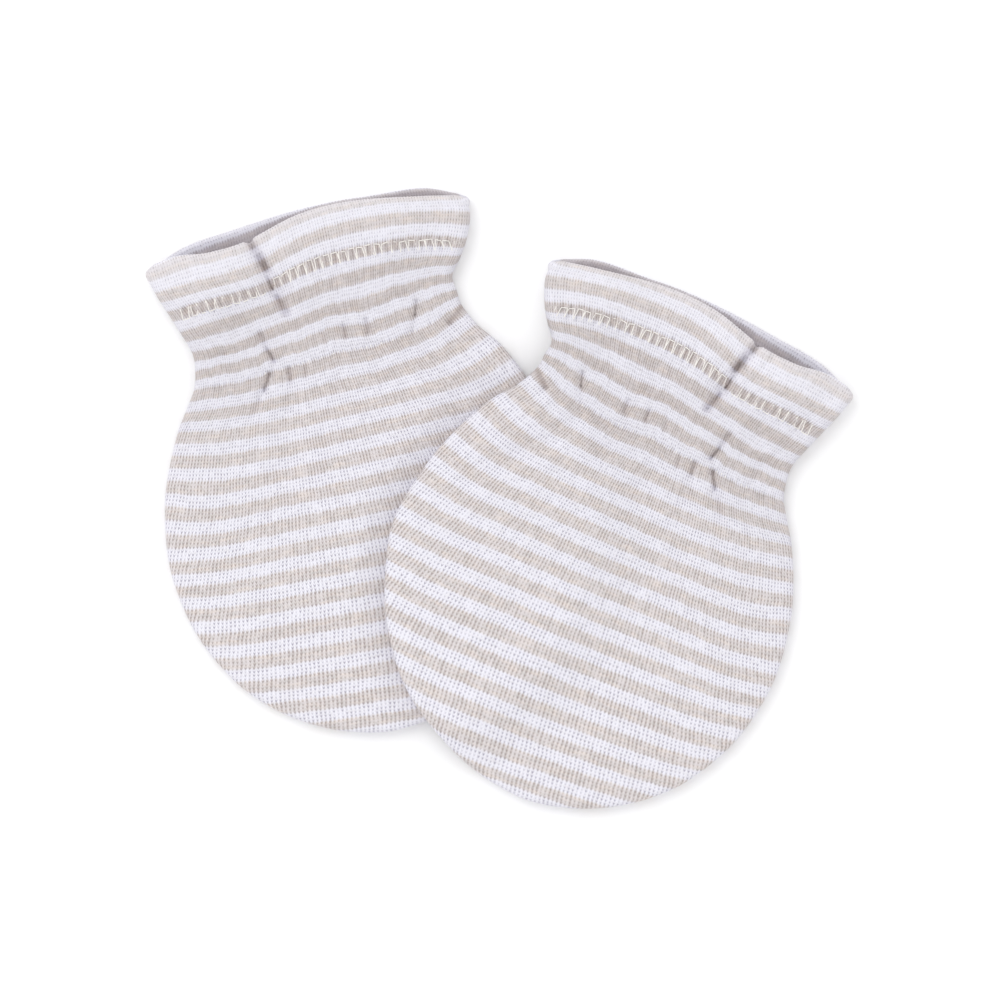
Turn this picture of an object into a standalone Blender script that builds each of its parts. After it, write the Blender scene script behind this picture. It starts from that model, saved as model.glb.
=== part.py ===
"""A pair of baby mittens in striped cotton knit, lying flat, one laid across the edge of the other.

Each mitten is a front and a back panel, cut alike and sewn together round the sides and the
finger end. The mouth is turned in as a hem of two layers, and elastic inside the wrist gathers
both panels. The over mitten rests on the floor and on the body of the under mitten, which is
its mirror image.

Metres, +Z up. The pair stands on z = 0 with the origin in the middle of its footprint; the
mouths point to +Y.
"""

import math

import bmesh
import bpy
import numpy as np

MM = 0.001

# Cloth and making, in millimetres.
CLOTH_WALL = 1.0
HEM_WALL = 1.8
STRIPE = 2.5
HEM_DEPTH = 12.0
HEM_EDGE_SLOPE = 0.9
SEAM_GAP = 0.3
SEAM_STRIP = 0.25
LAY_GAP = 0.3
CROWN_REACH = 8.0
FOLD_FADE = 4.0

# One mitten, mouth up, in millimetres from its own middle. Each row is one course of the knit:
# how many stripes it lies from the mouth's fold, where it meets the left and the right seam,
# how far it rises above the straight line between them at 10 to 90% of its width, how high the
# mitten lies just inside its sides and in its middle, and the mesh rows down to the next course.
COURSE_COLUMNS = (
    "stripes", "left_x", "left_y", "right_x", "right_y",
    "rise_10", "rise_30", "rise_50", "rise_70", "rise_90",
    "side_height", "middle_height", "mesh_rows",
)
COURSE_ROWS = (
    (0.0, -33.5, 45.5, 30.7, 44.1, 1.4, 3.8, 4.3, 1.5, 1.2, 4.9, 4.3, 1),
    (2.0, -33.8, 41.5, 29.4, 39.4, 1.6, 4.0, 3.8, 0.3, 0.2, 4.9, 4.4, 1),
    (4.0, -31.9, 36.6, 27.9, 35.3, 2.0, 3.4, 3.4, 0.5, 0.4, 4.9, 4.5, 4),
    (6.0, -30.0, 33.6, 26.3, 30.9, 1.5, 2.6, 2.3, 0.5, 0.2, 4.5, 4.3, 2),
    (8.0, -27.8, 30.6, 25.0, 26.7, 0.7, 0.5, 0.9, -0.2, -0.6, 3.9, 4.0, 2),
    (10.0, -28.0, 27.5, 25.3, 23.0, -0.1, -1.1, 0.0, -0.5, -0.4, 3.6, 3.9, 2),
    (12.0, -28.3, 24.7, 26.3, 19.8, -1.7, -2.8, -1.9, -1.6, -1.1, 3.4, 4.1, 2),
    (14.0, -30.5, 20.2, 28.9, 15.8, -1.9, -3.2, -2.7, -2.4, -1.2, 3.3, 4.4, 2),
    (16.0, -34.4, 15.0, 31.2, 12.3, -2.2, -3.3, -3.1, -2.8, -1.5, 3.3, 4.6, 2),
    (19.0, -38.3, 6.5, 34.3, 5.9, -1.9, -2.7, -2.8, -3.0, -1.8, 3.3, 4.7, 2),
    (22.0, -40.8, -2.0, 36.8, -1.4, -1.4, -2.1, -2.5, -2.5, -2.1, 3.3, 4.7, 3),
    (26.0, -42.2, -13.7, 38.4, -12.3, -0.6, -0.9, -1.2, -1.3, -1.2, 3.3, 4.7, 3),
    (30.0, -39.4, -24.3, 37.4, -22.0, -0.8, -1.2, -1.4, -1.4, -1.0, 3.3, 4.7, 3),
    (33.0, -35.8, -32.1, 34.9, -30.0, -0.7, -1.3, -1.5, -1.4, -0.9, 3.3, 4.6, 3),
    (36.0, -29.8, -40.1, 30.3, -38.2, -0.6, -1.0, -1.4, -1.2, -0.6, 3.3, 4.5, 0),
    (38.0, -23.3, -45.5, 25.1, -43.8, -0.6, -1.0, -0.9, -0.8, -0.2, 3.3, 4.4, 0),
    (39.5, -14.4, -50.1, 19.4, -48.0, -0.3, -0.4, -0.4, -0.2, 0.0, 3.3, 4.3, 0),
    (40.6, -7.1, -52.5, 13.5, -51.0, 0.1, 0.2, 0.1, 0.0, 0.0, 3.3, 4.2, 0),
    (41.3, -1.2, -53.4, 7.5, -52.9, -0.1, -0.3, -0.4, -0.3, -0.1, 3.3, 4.2, 0),
)
COURSES = dict(zip(COURSE_COLUMNS, np.array(COURSE_ROWS).T))
RISE_AT = np.array([0.0, 0.1, 0.3, 0.5, 0.7, 0.9, 1.0])
LAST_ROW = len(COURSE_ROWS) - 1

# At the mouth the back panel stands further out than the front, which shows its inside there.
BACK_RIM_RISE = (1.7, 0.6, 0.9, 3.2, 1.9)
BACK_RIM_STRIPES = 8.0

# Mesh: rings at these distances in from the seam, and even steps across inside them. Below the
# bend row the mesh rows leave the courses and turn to run round the finger end.
SEAM_RINGS = (0.0, 0.0, 0.4, 1.3, 3.0)
RING_REACH = 12.0
STEPS_ACROSS = {"front": 22, "back": 14}
BEND_ROW = 10
CORNER_ROW = 14
LINE_STEPS_A_ROW = 6
LINE_STEPS_AT_END = 8
HALVINGS = 22
LEAST_DISTANCE = 1e-6

# Folds of the front, in the mitten's own frame: two ends, width across and height. Positive
# heights are ridges and negative ones troughs.
FOLD_COLUMNS = ("from_x", "from_y", "to_x", "to_y", "width", "height")
FRONT_FOLDS = (
    # mouth gapes
    (17.5, 48.5, 16.5, 39.0, 26.0, 2.6),
    (-22.0, 49.5, -20.0, 42.0, 20.0, 1.4),
    # long valley down the cuff, with the soft ridge beside it
    (9.6, 47.0, 5.6, 31.0, 4.4, -1.1),
    (4.0, 47.5, 1.0, 34.0, 9.0, 0.7),
    # gathers in the cuff, above the elastic
    (-17.5, 35.0, -18.5, 28.5, 4.5, -0.4),
    (-6.0, 35.5, -6.5, 29.0, 4.5, -0.4),
    (16.0, 33.0, 15.5, 27.0, 4.5, -0.4),
    (-12.0, 36.0, -12.5, 29.0, 5.0, 0.4),
    (21.0, 34.5, 20.0, 26.5, 4.5, 0.4),
    # creases and dimples over the elastic
    (-19.6, 27.2, -18.4, 21.8, 3.4, -0.8),
    (-27.2, 23.8, -25.0, 21.4, 3.4, -0.6),
    (-9.4, 26.4, -9.2, 23.4, 3.2, -0.6),
    (-4.9, 26.2, -4.7, 23.4, 3.0, -0.5),
    (-0.7, 25.8, -0.5, 23.2, 3.0, -0.5),
    (11.4, 27.4, 9.9, 21.9, 3.2, -0.9),
    (4.0, 20.3, 4.6, 17.4, 3.2, -0.5),
    (7.3, 20.3, 8.2, 16.8, 3.2, -0.6),
    (11.3, 19.2, 15.4, 13.2, 3.4, -0.9),
    (19.5, 25.5, 19.3, 21.0, 3.6, -0.4),
    # flutes that run out over the top of the hand
    (-19.5, 17.0, -28.0, 6.5, 8.0, -0.6),
    (-9.5, 16.0, -12.0, 7.0, 7.0, -0.4),
    (-14.5, 18.0, -19.0, 7.0, 6.0, 0.3),
    (0.5, 17.0, 0.5, 8.0, 7.0, -0.3),
    (9.0, 14.5, 12.0, 4.5, 8.0, -0.5),
    (18.5, 14.0, 23.0, 5.0, 8.0, -0.3),
    (4.5, 15.0, 6.0, 6.0, 6.0, 0.3),
)
# The back lies flat. Its gathers lift it off the floor a little in the cuff and the wrist.
BACK_FOLDS = (
    (-21.5, 30.5, -20.5, 20.0, 4.0, 0.35),
    (-14.0, 28.5, -14.5, 21.5, 3.6, 0.3),
    (-7.5, 31.5, -7.0, 19.0, 4.2, 0.4),
    (-1.5, 28.0, -1.0, 20.5, 3.6, 0.3),
    (5.5, 30.0, 6.5, 18.0, 4.2, 0.4),
    (13.0, 28.0, 13.5, 20.0, 3.8, 0.3),
    (19.0, 29.0, 20.0, 18.5, 4.0, 0.35),
)

# Where each mitten lies: mirrored or not, the place of its middle in millimetres, and its turn.
PLACES = {
    "under_mitten": {"mirrored": True, "x": -29.66, "y": 7.71, "turn": math.radians(12.58)},
    "over_mitten": {"mirrored": False, "x": 23.51, "y": -8.2, "turn": math.radians(-23.4)},
}
PRESS_REACH = 7.0
DRAPE_SHELF = 1.5
DRAPE_REACH = 14.0
HAND_FROM_STRIPE = 12.0

OATMEAL_STRIPE_KNIT = (0.72, 0.69, 0.67, 1.0)
KNIT_ROUGHNESS = 0.9


def smooth_step(amount):
    """0 to 1 with level ends."""
    held = np.clip(amount, 0.0, 1.0)
    return held * held * (3.0 - 2.0 * held)


def curve_through(knots, values, at):
    """A smooth curve through a value at each knot. Values holds one column, or one for each place."""
    slopes = np.gradient(values, knots, axis=0)
    low = np.clip(np.searchsorted(knots, at, side="right") - 1, 0, len(knots) - 2)
    column = np.arange(len(at)) if values.shape[1] > 1 else np.zeros(len(at), int)
    step = knots[low + 1] - knots[low]
    t = (at - knots[low]) / step
    start, end = values[low, column], values[low + 1, column]
    leave, arrive = slopes[low, column] * step, slopes[low + 1, column] * step
    hump = t * t * (3.0 - 2.0 * t)
    return start + (end - start) * hump + t * (1.0 - t) * ((1.0 - t) * leave - t * arrive)


def course(column, row):
    """One column of the course table at fractional rows."""
    return curve_through(np.arange(LAST_ROW + 1.0), COURSES[column][:, None], row)


def cloth_point(panel, row, across):
    """Where a place in the cloth lies in the mitten's own frame: its course row, and 0 to 1 across."""
    stripes = course("stripes", row)
    rises = [np.zeros_like(row)]
    for place, extra in zip(("10", "30", "50", "70", "90"), BACK_RIM_RISE):
        rise = course("rise_" + place, row)
        if panel == "back":
            rise = rise + extra * np.clip(1.0 - stripes / BACK_RIM_STRIPES, 0.0, 1.0)
        rises.append(rise)
    rises.append(np.zeros_like(row))
    left_x, right_x = course("left_x", row), course("right_x", row)
    left_y, right_y = course("left_y", row), course("right_y", row)
    x = left_x + (right_x - left_x) * across
    y = left_y + (right_y - left_y) * across + curve_through(RISE_AT, np.array(rises), across)
    return x, y


def seam_line(from_row=0):
    """The seam, from a course's left end round the finger end to its right end."""
    rows = np.linspace(from_row, LAST_ROW, LINE_STEPS_A_ROW * (LAST_ROW - from_row) + 1)
    end = np.linspace(0.0, 1.0, LINE_STEPS_AT_END + 1)[1:-1]
    left = cloth_point("front", rows, np.zeros_like(rows))
    finger_end = cloth_point("front", np.full_like(end, LAST_ROW), end)
    right = cloth_point("front", rows[::-1], np.ones_like(rows))
    return np.concatenate([np.array(piece).T for piece in (left, finger_end, right)])


def offset_from(x, y, line):
    """Each point's offset from the nearest place on a line of straight pieces."""
    start, step = line[:-1], np.diff(line, axis=0)
    offset_x = x[:, None] - start[:, 0]
    offset_y = y[:, None] - start[:, 1]
    along = (offset_x * step[:, 0] + offset_y * step[:, 1]) / (step**2).sum(axis=1)
    along = np.clip(along, 0.0, 1.0)
    offset_x -= along * step[:, 0]
    offset_y -= along * step[:, 1]
    nearest = np.arange(len(x)), np.argmin(np.hypot(offset_x, offset_y), axis=1)
    return np.stack([offset_x[nearest], offset_y[nearest]], axis=1)


def distance_to(x, y, line):
    """Distance of each point from a line of straight pieces."""
    return np.hypot(*offset_from(x, y, line).T)


def depth_inside(x, y, outline):
    """Distance of each point from a closed outline, positive inside it and negative outside."""
    closed = np.concatenate([outline, outline[:1]])
    start_x, start_y = closed[:-1].T
    end_x, end_y = closed[1:].T
    spans = (start_y > y[:, None]) != (end_y > y[:, None])
    rise = np.where(end_y == start_y, 1.0, end_y - start_y)
    crossing = start_x + (y[:, None] - start_y) * (end_x - start_x) / rise
    inside = (spans & (x[:, None] < crossing)).sum(axis=1) % 2 == 1
    return np.where(inside, 1.0, -1.0) * distance_to(x, y, closed)


def to_floor(name, x, y):
    """Points of a mitten's own frame, placed on the floor, in millimetres."""
    place = PLACES[name]
    own_x = -x if place["mirrored"] else x
    cosine, sine = math.cos(place["turn"]), math.sin(place["turn"])
    return place["x"] + own_x * cosine - y * sine, place["y"] + own_x * sine + y * cosine


def outline_of(name, from_stripe=0.0):
    """A mitten's outline on the floor, or that of its hand alone."""
    rows = np.linspace(0.0, LAST_ROW, LINE_STEPS_A_ROW * LAST_ROW + 1)
    kept = rows[course("stripes", rows) >= from_stripe]
    left = cloth_point("front", kept, np.zeros_like(kept))
    right = cloth_point("front", kept[::-1], np.ones_like(kept))
    points = np.concatenate([np.array(left).T, np.array(right).T])
    return np.array(to_floor(name, points[:, 0], points[:, 1])).T


def fold_height(folds, x, y):
    """Sum of the folds' heights at each point, each a soft bell across its own line."""
    total = np.zeros_like(x)
    for row in folds:
        fold = dict(zip(FOLD_COLUMNS, row))
        line = np.array([(fold["from_x"], fold["from_y"]), (fold["to_x"], fold["to_y"])])
        share = np.clip(distance_to(x, y, line) / (fold["width"] / 2.0), 0.0, 1.0)
        total += fold["height"] * 0.5 * (1.0 + np.cos(np.pi * share))
    return total


def pressed_flat(name, x, y):
    """How far the other mitten presses this one down: 0 where it lies free, 1 under the other."""
    if name == "over_mitten":
        return np.zeros_like(x)
    depth = depth_inside(*to_floor(name, x, y), outline_of("over_mitten"))
    return smooth_step(1.0 + depth / PRESS_REACH)


def height_of_bed(name, x, y):
    """Height of what the mitten lies on: the floor, or the under mitten's hand and the slope off it."""
    if name == "under_mitten":
        return np.zeros_like(x)
    hand = outline_of("under_mitten", HAND_FROM_STRIPE)
    depth = depth_inside(*to_floor(name, x, y), hand)
    slope = smooth_step(1.0 + (depth + DRAPE_SHELF) / DRAPE_REACH)
    return (COURSES["side_height"].min() + LAY_GAP) * slope


def panel_height(name, panel, x, y, row, from_seam, upright):
    """Height of the outer face: upright at the seam, rolled over by a quarter circle, then level."""
    side = course("side_height", row)
    strip = SEAM_GAP / 2.0 + upright
    radius = (side - SEAM_GAP) / 2.0 - SEAM_STRIP
    rolled = np.sqrt(1.0 - (1.0 - np.clip(from_seam / radius, 0.0, 1.0)) ** 2)
    inner = np.clip(from_seam - radius, 0.0, None)
    fade = smooth_step(inner / FOLD_FADE)
    if panel == "front":
        crown = (course("middle_height", row) - side) * (1.0 - np.exp(-inner / CROWN_REACH))
        free = 1.0 - pressed_flat(name, x, y)
        top = side + (crown + fade * fold_height(FRONT_FOLDS, x, y)) * free
        start = side / 2.0 + strip
        height = start + (top - start) * rolled
    else:
        start = side / 2.0 - strip
        height = start * (1.0 - rolled) + fade * fold_height(BACK_FOLDS, x, y)
    return height + height_of_bed(name, x, y)


def find_row(panel, x, y):
    """The course row that runs through each point, found by halving."""
    low, high = np.zeros_like(x), np.full_like(x, LAST_ROW)
    for _ in range(HALVINGS):
        row = (low + high) / 2.0
        left, right = course("left_x", row), course("right_x", row)
        across = np.clip((x - left) / (right - left), 0.0, 1.0)
        above = cloth_point(panel, row, across)[1] > y
        low = np.where(above, row, low)
        high = np.where(above, high, row)
    return (low + high) / 2.0


def finger_end(steps):
    """Points at even distances along the finger end's seam, between its two corners."""
    line = seam_line(CORNER_ROW)
    run = np.concatenate([[0.0], np.cumsum(np.hypot(*np.diff(line, axis=0).T))])
    at = np.linspace(0.0, run[-1], steps + 1)
    return np.stack([np.interp(at, run, line[:, 0]), np.interp(at, run, line[:, 1])], axis=1)


def cloth_grid(panel, steps):
    """Mesh points out to the seam, in rows along the courses that turn to run round the finger end."""
    rows = [0.0]
    for start, count in enumerate(COURSES["mesh_rows"][:CORNER_ROW].astype(int)):
        rows += [start + (step + 1) / count for step in range(count)]
    rows = np.array(rows)
    row, across = np.meshgrid(rows, np.linspace(0.0, 1.0, steps + 1), indexing="ij")
    grid = np.stack(cloth_point(panel, row.ravel(), across.ravel()), axis=1)
    grid = grid.reshape(len(rows), steps + 1, 2)
    bend = smooth_step((rows - BEND_ROW) / (CORNER_ROW - BEND_ROW))
    return grid + bend[:, None, None] * (finger_end(steps) - grid[-1])


def rim_point(panel, x):
    """The point of the mouth's rim at a given x."""
    rim = np.zeros_like(x)
    left, right = course("left_x", rim), course("right_x", rim)
    return np.stack(cloth_point(panel, rim, (x - left) / (right - left)), axis=1)


def seam_rings(panel, edge):
    """Rings of points at set distances inside the panel's edge, ending on the mouth's rim."""
    along = np.gradient(edge, axis=0)
    along /= np.hypot(*along.T)[:, None]
    inward = np.stack([-along[:, 1], along[:, 0]], axis=1)
    rings = [edge + inset * inward for inset in SEAM_RINGS]
    for ring, inset in zip(rings, SEAM_RINGS):
        ends = edge[[0, -1], 0] + np.array([inset, -inset])
        ring[[0, -1]] = rim_point(panel, ends)
    return rings


def drawn_in(panel, grid):
    """The grid drawn in to the innermost ring at its edge, and less so further in."""
    points = grid.reshape(-1, 2)
    offset = offset_from(*points.T, seam_line())
    distance = np.maximum(np.hypot(*offset.T), LEAST_DISTANCE)
    push = SEAM_RINGS[-1] * np.clip(1.0 - distance / RING_REACH, 0.0, 1.0)
    moved = (points + offset * (push / distance)[:, None]).reshape(grid.shape)
    moved[0] = rim_point(panel, moved[0, :, 0])
    return moved


def panel_mesh(panel, steps):
    """Points in the flat, their distance from the seam, and the faces of a panel's outer side."""
    grid = cloth_grid(panel, steps)
    rings = seam_rings(panel, np.concatenate([grid[:, 0], grid[-1, 1:-1], grid[::-1, -1]]))
    grid = drawn_in(panel, grid)
    rows, columns = grid.shape[:2]
    number = np.arange(rows * columns).reshape(rows, columns)
    edge = np.concatenate([number[:, 0], number[-1, 1:-1], number[::-1, -1]])
    points = grid.reshape(-1, 2)
    points[edge] = rings[-1]
    from_seam = distance_to(*points.T, seam_line())

    loops = [len(points) + place * len(edge) + np.arange(len(edge)) for place in range(len(rings) - 1)]
    loops.append(edge)
    points = np.concatenate([points] + rings[:-1])
    from_seam = np.concatenate([from_seam] + [np.full(len(edge), inset) for inset in SEAM_RINGS[:-1]])
    faces = []
    for outer, inner in zip(loops[:-1], loops[1:]):
        faces += list(zip(outer[:-1], outer[1:], inner[1:], inner[:-1]))
    for i in range(rows - 1):
        for j in range(columns - 1):
            faces.append((number[i, j], number[i + 1, j], number[i + 1, j + 1], number[i, j + 1]))
    upright = np.full(len(points), SEAM_STRIP)
    upright[loops[0]] = 0.0
    return points, from_seam, upright, faces


def knit_material(name):
    """A matt cotton knit in the mean colour of the two stripes."""
    material = bpy.data.materials.new(name)
    material.use_nodes = True
    shader = material.node_tree.nodes["Principled BSDF"]
    shader.inputs["Base Color"].default_value = OATMEAL_STRIPE_KNIT
    shader.inputs["Roughness"].default_value = KNIT_ROUGHNESS
    shader.inputs["Metallic"].default_value = 0.0
    return material


def add_panel(name, panel, parent, collection):
    """One panel: its outer side as an open mesh, and a wall inside it, double in the hem."""
    flat, from_seam, upright, faces = panel_mesh(panel, STEPS_ACROSS[panel])
    x, y = flat.T
    row = find_row(panel, x, y)
    z = panel_height(name, panel, x, y, row, from_seam, upright)
    mirrored = PLACES[name]["mirrored"]
    points = np.stack([-x if mirrored else x, y, z], axis=1) * MM

    model = bmesh.new()
    corners = [model.verts.new(point) for point in points]
    for face in faces:
        turned = face if (panel == "front") != mirrored else face[::-1]
        model.faces.new([corners[number] for number in turned])
    mesh = bpy.data.meshes.new(f"{name}_{panel}")
    model.to_mesh(mesh)
    model.free()
    mesh.shade_smooth()
    mesh.materials.append(knit_material(f"{name}_{panel}_knit"))

    piece = bpy.data.objects.new(f"{name}_{panel}", mesh)
    piece.parent = parent
    collection.objects.link(piece)
    layers = piece.vertex_groups.new(name="layers")
    past_hem = course("stripes", row) * STRIPE - HEM_DEPTH
    single = smooth_step(past_hem / HEM_EDGE_SLOPE + 0.5)
    wall = HEM_WALL + (CLOTH_WALL - HEM_WALL) * single
    for number, share in enumerate(wall / HEM_WALL):
        layers.add([number], share, "REPLACE")
    shell = piece.modifiers.new("Wall", "SOLIDIFY")
    shell.thickness = HEM_WALL * MM
    shell.offset = -1.0
    shell.use_even_offset = True
    shell.vertex_group = layers.name
    return piece


def centre_on_origin(places, pieces):
    """Moves the mittens together so that the middle of their footprint is the origin."""
    bpy.context.view_layer.update()
    graph = bpy.context.evaluated_depsgraph_get()
    corners = []
    for piece in pieces:
        shell = piece.evaluated_get(graph).to_mesh()
        points = np.array([piece.matrix_world @ vertex.co for vertex in shell.vertices])
        corners += [points.min(axis=0), points.max(axis=0)]
    middle = (np.min(corners, axis=0) + np.max(corners, axis=0)) / 2.0
    for place in places:
        place.location.x -= middle[0]
        place.location.y -= middle[1]


def build():
    """Clears the scene and makes both mittens."""
    for leftover in list(bpy.data.objects):
        bpy.data.objects.remove(leftover)
    collection = bpy.data.collections.new("baby_mittens")
    bpy.context.scene.collection.children.link(collection)
    places, pieces = [], []
    for name, place in PLACES.items():
        middle = bpy.data.objects.new(name, None)
        middle.location = (place["x"] * MM, place["y"] * MM, 0.0)
        middle.rotation_euler.z = place["turn"]
        collection.objects.link(middle)
        places.append(middle)
        for panel in ("back", "front"):
            pieces.append(add_panel(name, panel, middle, collection))
    centre_on_origin(places, pieces)


build()
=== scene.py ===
"""A pair of baby scratch mittens in striped cotton knit, laid flat, one on the other's edge."""

import math

import bpy
import numpy as np
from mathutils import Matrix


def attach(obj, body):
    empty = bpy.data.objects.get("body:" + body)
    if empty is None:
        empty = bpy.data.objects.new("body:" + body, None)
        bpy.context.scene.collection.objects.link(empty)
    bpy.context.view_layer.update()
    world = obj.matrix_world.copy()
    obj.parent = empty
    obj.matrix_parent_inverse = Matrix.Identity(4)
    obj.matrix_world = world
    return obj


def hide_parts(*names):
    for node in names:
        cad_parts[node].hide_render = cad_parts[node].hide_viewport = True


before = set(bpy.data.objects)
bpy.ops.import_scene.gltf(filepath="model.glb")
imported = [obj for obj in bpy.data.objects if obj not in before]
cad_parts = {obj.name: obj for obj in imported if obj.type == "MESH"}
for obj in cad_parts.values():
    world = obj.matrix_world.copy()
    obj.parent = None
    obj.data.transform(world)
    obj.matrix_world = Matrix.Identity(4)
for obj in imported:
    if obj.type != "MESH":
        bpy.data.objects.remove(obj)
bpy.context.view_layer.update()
MM = 0.001


# ---- Table, light and camera --------------------------------------------------------------------
# The pair lies on a plain white table in a soft light tent: light comes from all round, and a
# little more of it from a large panel above the upper left. The camera looks straight down.

PICTURE_PIXELS = 1000.0
PIXELS_PER_METRE = 5125.0
PAIR_MIDDLE_PIXELS = (499.5, 498.0)
CAMERA_HEIGHT = 2.4
SEAM_LEVEL = 0.002
TABLE_SIDE = 3.0
TABLE_DROP = 0.0001
TABLE_WHITE = (0.96, 0.96, 0.965, 1.0)
TABLE_ROUGHNESS = 0.9
TENT_WHITE = (1.0, 1.0, 1.0, 1.0)
TENT_STRENGTH = 1.02
PANEL_SIDE = 0.9
PANEL_POWER = 4.6
PANEL_PLACE = (-0.55, 0.65, 1.1)

table_mesh = bpy.data.meshes.new("table")
half = TABLE_SIDE / 2.0
table_corners = [(-half, -half), (half, -half), (half, half), (-half, half)]
table_mesh.from_pydata([(x, y, -TABLE_DROP) for x, y in table_corners], [], [(0, 1, 2, 3)])
table = bpy.data.objects.new("table", table_mesh)
bpy.context.scene.collection.objects.link(table)
table_paint = bpy.data.materials.new("table_white")
table_paint.use_nodes = True
table_shader = table_paint.node_tree.nodes["Principled BSDF"]
table_shader.inputs["Base Color"].default_value = TABLE_WHITE
table_shader.inputs["Roughness"].default_value = TABLE_ROUGHNESS
table_mesh.materials.append(table_paint)

world = bpy.data.worlds.new("light_tent")
world.use_nodes = True
tent = world.node_tree.nodes["Background"]
tent.inputs["Color"].default_value = TENT_WHITE
tent.inputs["Strength"].default_value = TENT_STRENGTH
bpy.context.scene.world = world
bpy.context.scene.view_settings.view_transform = "Standard"

panel_light = bpy.data.lights.new("light_panel", "AREA")
panel_light.size = PANEL_SIDE
panel_light.energy = PANEL_POWER
panel_lamp = bpy.data.objects.new("light_panel", panel_light)
panel_lamp.location = PANEL_PLACE
aim = math.atan2(math.hypot(PANEL_PLACE[0], PANEL_PLACE[1]), PANEL_PLACE[2])
panel_lamp.rotation_euler = (aim, 0.0, math.atan2(PANEL_PLACE[0], -PANEL_PLACE[1]))
bpy.context.scene.collection.objects.link(panel_lamp)

camera_data = bpy.data.cameras.new("camera")
picture_width = PICTURE_PIXELS / PIXELS_PER_METRE
camera_data.lens = camera_data.sensor_width * (CAMERA_HEIGHT - SEAM_LEVEL) / picture_width
camera = bpy.data.objects.new("camera", camera_data)
camera.location = (
    (PICTURE_PIXELS / 2.0 - PAIR_MIDDLE_PIXELS[0]) / PIXELS_PER_METRE,
    (PAIR_MIDDLE_PIXELS[1] - PICTURE_PIXELS / 2.0) / PIXELS_PER_METRE,
    CAMERA_HEIGHT,
)
bpy.context.scene.collection.objects.link(camera)
bpy.context.scene.camera = camera


# ---- Cut of the cloth ---------------------------------------------------------------------------
# Each mitten is two pieces of fine cotton jersey, front and back, cut alike with an even stripe
# of 2.5 mm. The table follows the courses of the knit from the mouth's fold to the finger end.

CLOTH_WALL = 1.0
HEM_WALL = 1.8
HEM_DEPTH = 12.0
HEM_EDGE_SLOPE = 0.9
STRIPE = 2.5
COURSES_A_STRIPE = 3.5
COURSE_COLUMNS = (
    "stripes", "left_x", "left_y", "right_x", "right_y",
    "rise_10", "rise_30", "rise_50", "rise_70", "rise_90",
    "side_height", "middle_height", "wales", "middle_wale_x",
)
# Stripes from the fold, the course's two ends, how far it rises above the straight line between
# them, the mitten's height at its sides and middle, the wales across and where the middle one is.
COURSE_ROWS = (
    (0.0, -33.5, 46.3, 30.7, 44.1, 1.4, 3.45, 3.9, 1.25, 1.1, 4.9, 4.3, 118, -2.5),
    (2.0, -33.8, 41.5, 29.4, 39.4, 1.8, 4.0, 3.8, 0.6, 0.2, 4.9, 4.4, 118, -2.6),
    (4.0, -31.9, 36.6, 27.9, 35.3, 2.15, 3.4, 3.4, 0.85, 0.4, 4.9, 4.5, 119, -2.6),
    (6.0, -30.0, 33.6, 26.3, 30.9, 1.5, 2.6, 2.3, 0.85, 0.2, 4.5, 4.3, 120, -2.5),
    (8.0, -27.8, 30.6, 25.0, 26.7, 0.7, 0.5, 0.9, 0.0, -0.6, 3.9, 4.0, 121, -2.2),
    (10.0, -28.0, 27.5, 25.3, 23.0, -0.1, -1.1, 0.0, -0.5, -0.4, 3.6, 3.9, 122, -2.0),
    (12.0, -28.3, 24.7, 26.3, 19.8, -1.7, -2.8, -1.9, -1.6, -1.1, 3.4, 4.1, 122, -2.2),
    (14.0, -30.5, 20.2, 28.9, 15.8, -1.9, -3.2, -2.7, -2.4, -1.2, 3.3, 4.4, 122, -2.4),
    (16.0, -34.4, 15.0, 31.2, 12.3, -2.2, -3.3, -3.1, -2.8, -1.5, 3.3, 4.6, 122, -2.6),
    (19.0, -38.3, 6.5, 34.3, 5.9, -1.9, -2.7, -2.8, -3.0, -1.8, 3.3, 4.7, 122, -2.8),
    (22.0, -40.8, -2.0, 36.8, -1.4, -1.4, -2.1, -2.5, -2.5, -2.1, 3.3, 4.7, 120, -3.0),
    (26.0, -42.2, -13.7, 38.4, -12.3, -0.6, -0.9, -1.2, -1.3, -1.2, 3.3, 4.7, 112, -3.0),
    (30.0, -39.4, -24.3, 37.4, -22.0, -0.8, -1.2, -1.4, -1.4, -1.0, 3.3, 4.7, 98, -2.7),
    (33.0, -35.8, -32.1, 34.9, -30.0, -0.7, -1.3, -1.5, -1.4, -0.9, 3.3, 4.6, 86, -2.1),
    (36.0, -29.8, -40.1, 30.3, -38.2, -0.6, -1.0, -1.4, -1.2, -0.6, 3.3, 4.5, 71, -1.1),
    (38.0, -23.3, -45.5, 25.1, -43.8, -0.6, -1.0, -0.9, -0.8, -0.2, 3.3, 4.4, 57, -0.3),
    (39.5, -14.4, -50.1, 19.4, -48.0, -0.3, -0.4, -0.4, -0.2, 0.0, 3.3, 4.3, 40, 0.3),
    (40.6, -7.1, -52.5, 13.5, -51.0, 0.1, 0.2, 0.1, 0.0, 0.0, 3.3, 4.2, 24, 0.7),
    (41.3, -1.2, -53.4, 7.5, -52.9, -0.1, -0.3, -0.4, -0.3, -0.1, 3.3, 4.2, 10, 0.9),
)
COURSES = dict(zip(COURSE_COLUMNS, np.array(COURSE_ROWS).T))
RISE_AT = np.array([0.0, 0.1, 0.3, 0.5, 0.7, 0.9, 1.0])
LAST_ROW = len(COURSE_ROWS) - 1
BACK_RIM_RISE = (1.7, 0.6, 0.9, 3.2, 1.9)
BACK_RIM_STRIPES = 8.0
HALVINGS = 22
ROW_STEPS = 100
SEAM_STEPS = 6
FINGER_END_STEPS = 8


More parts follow.
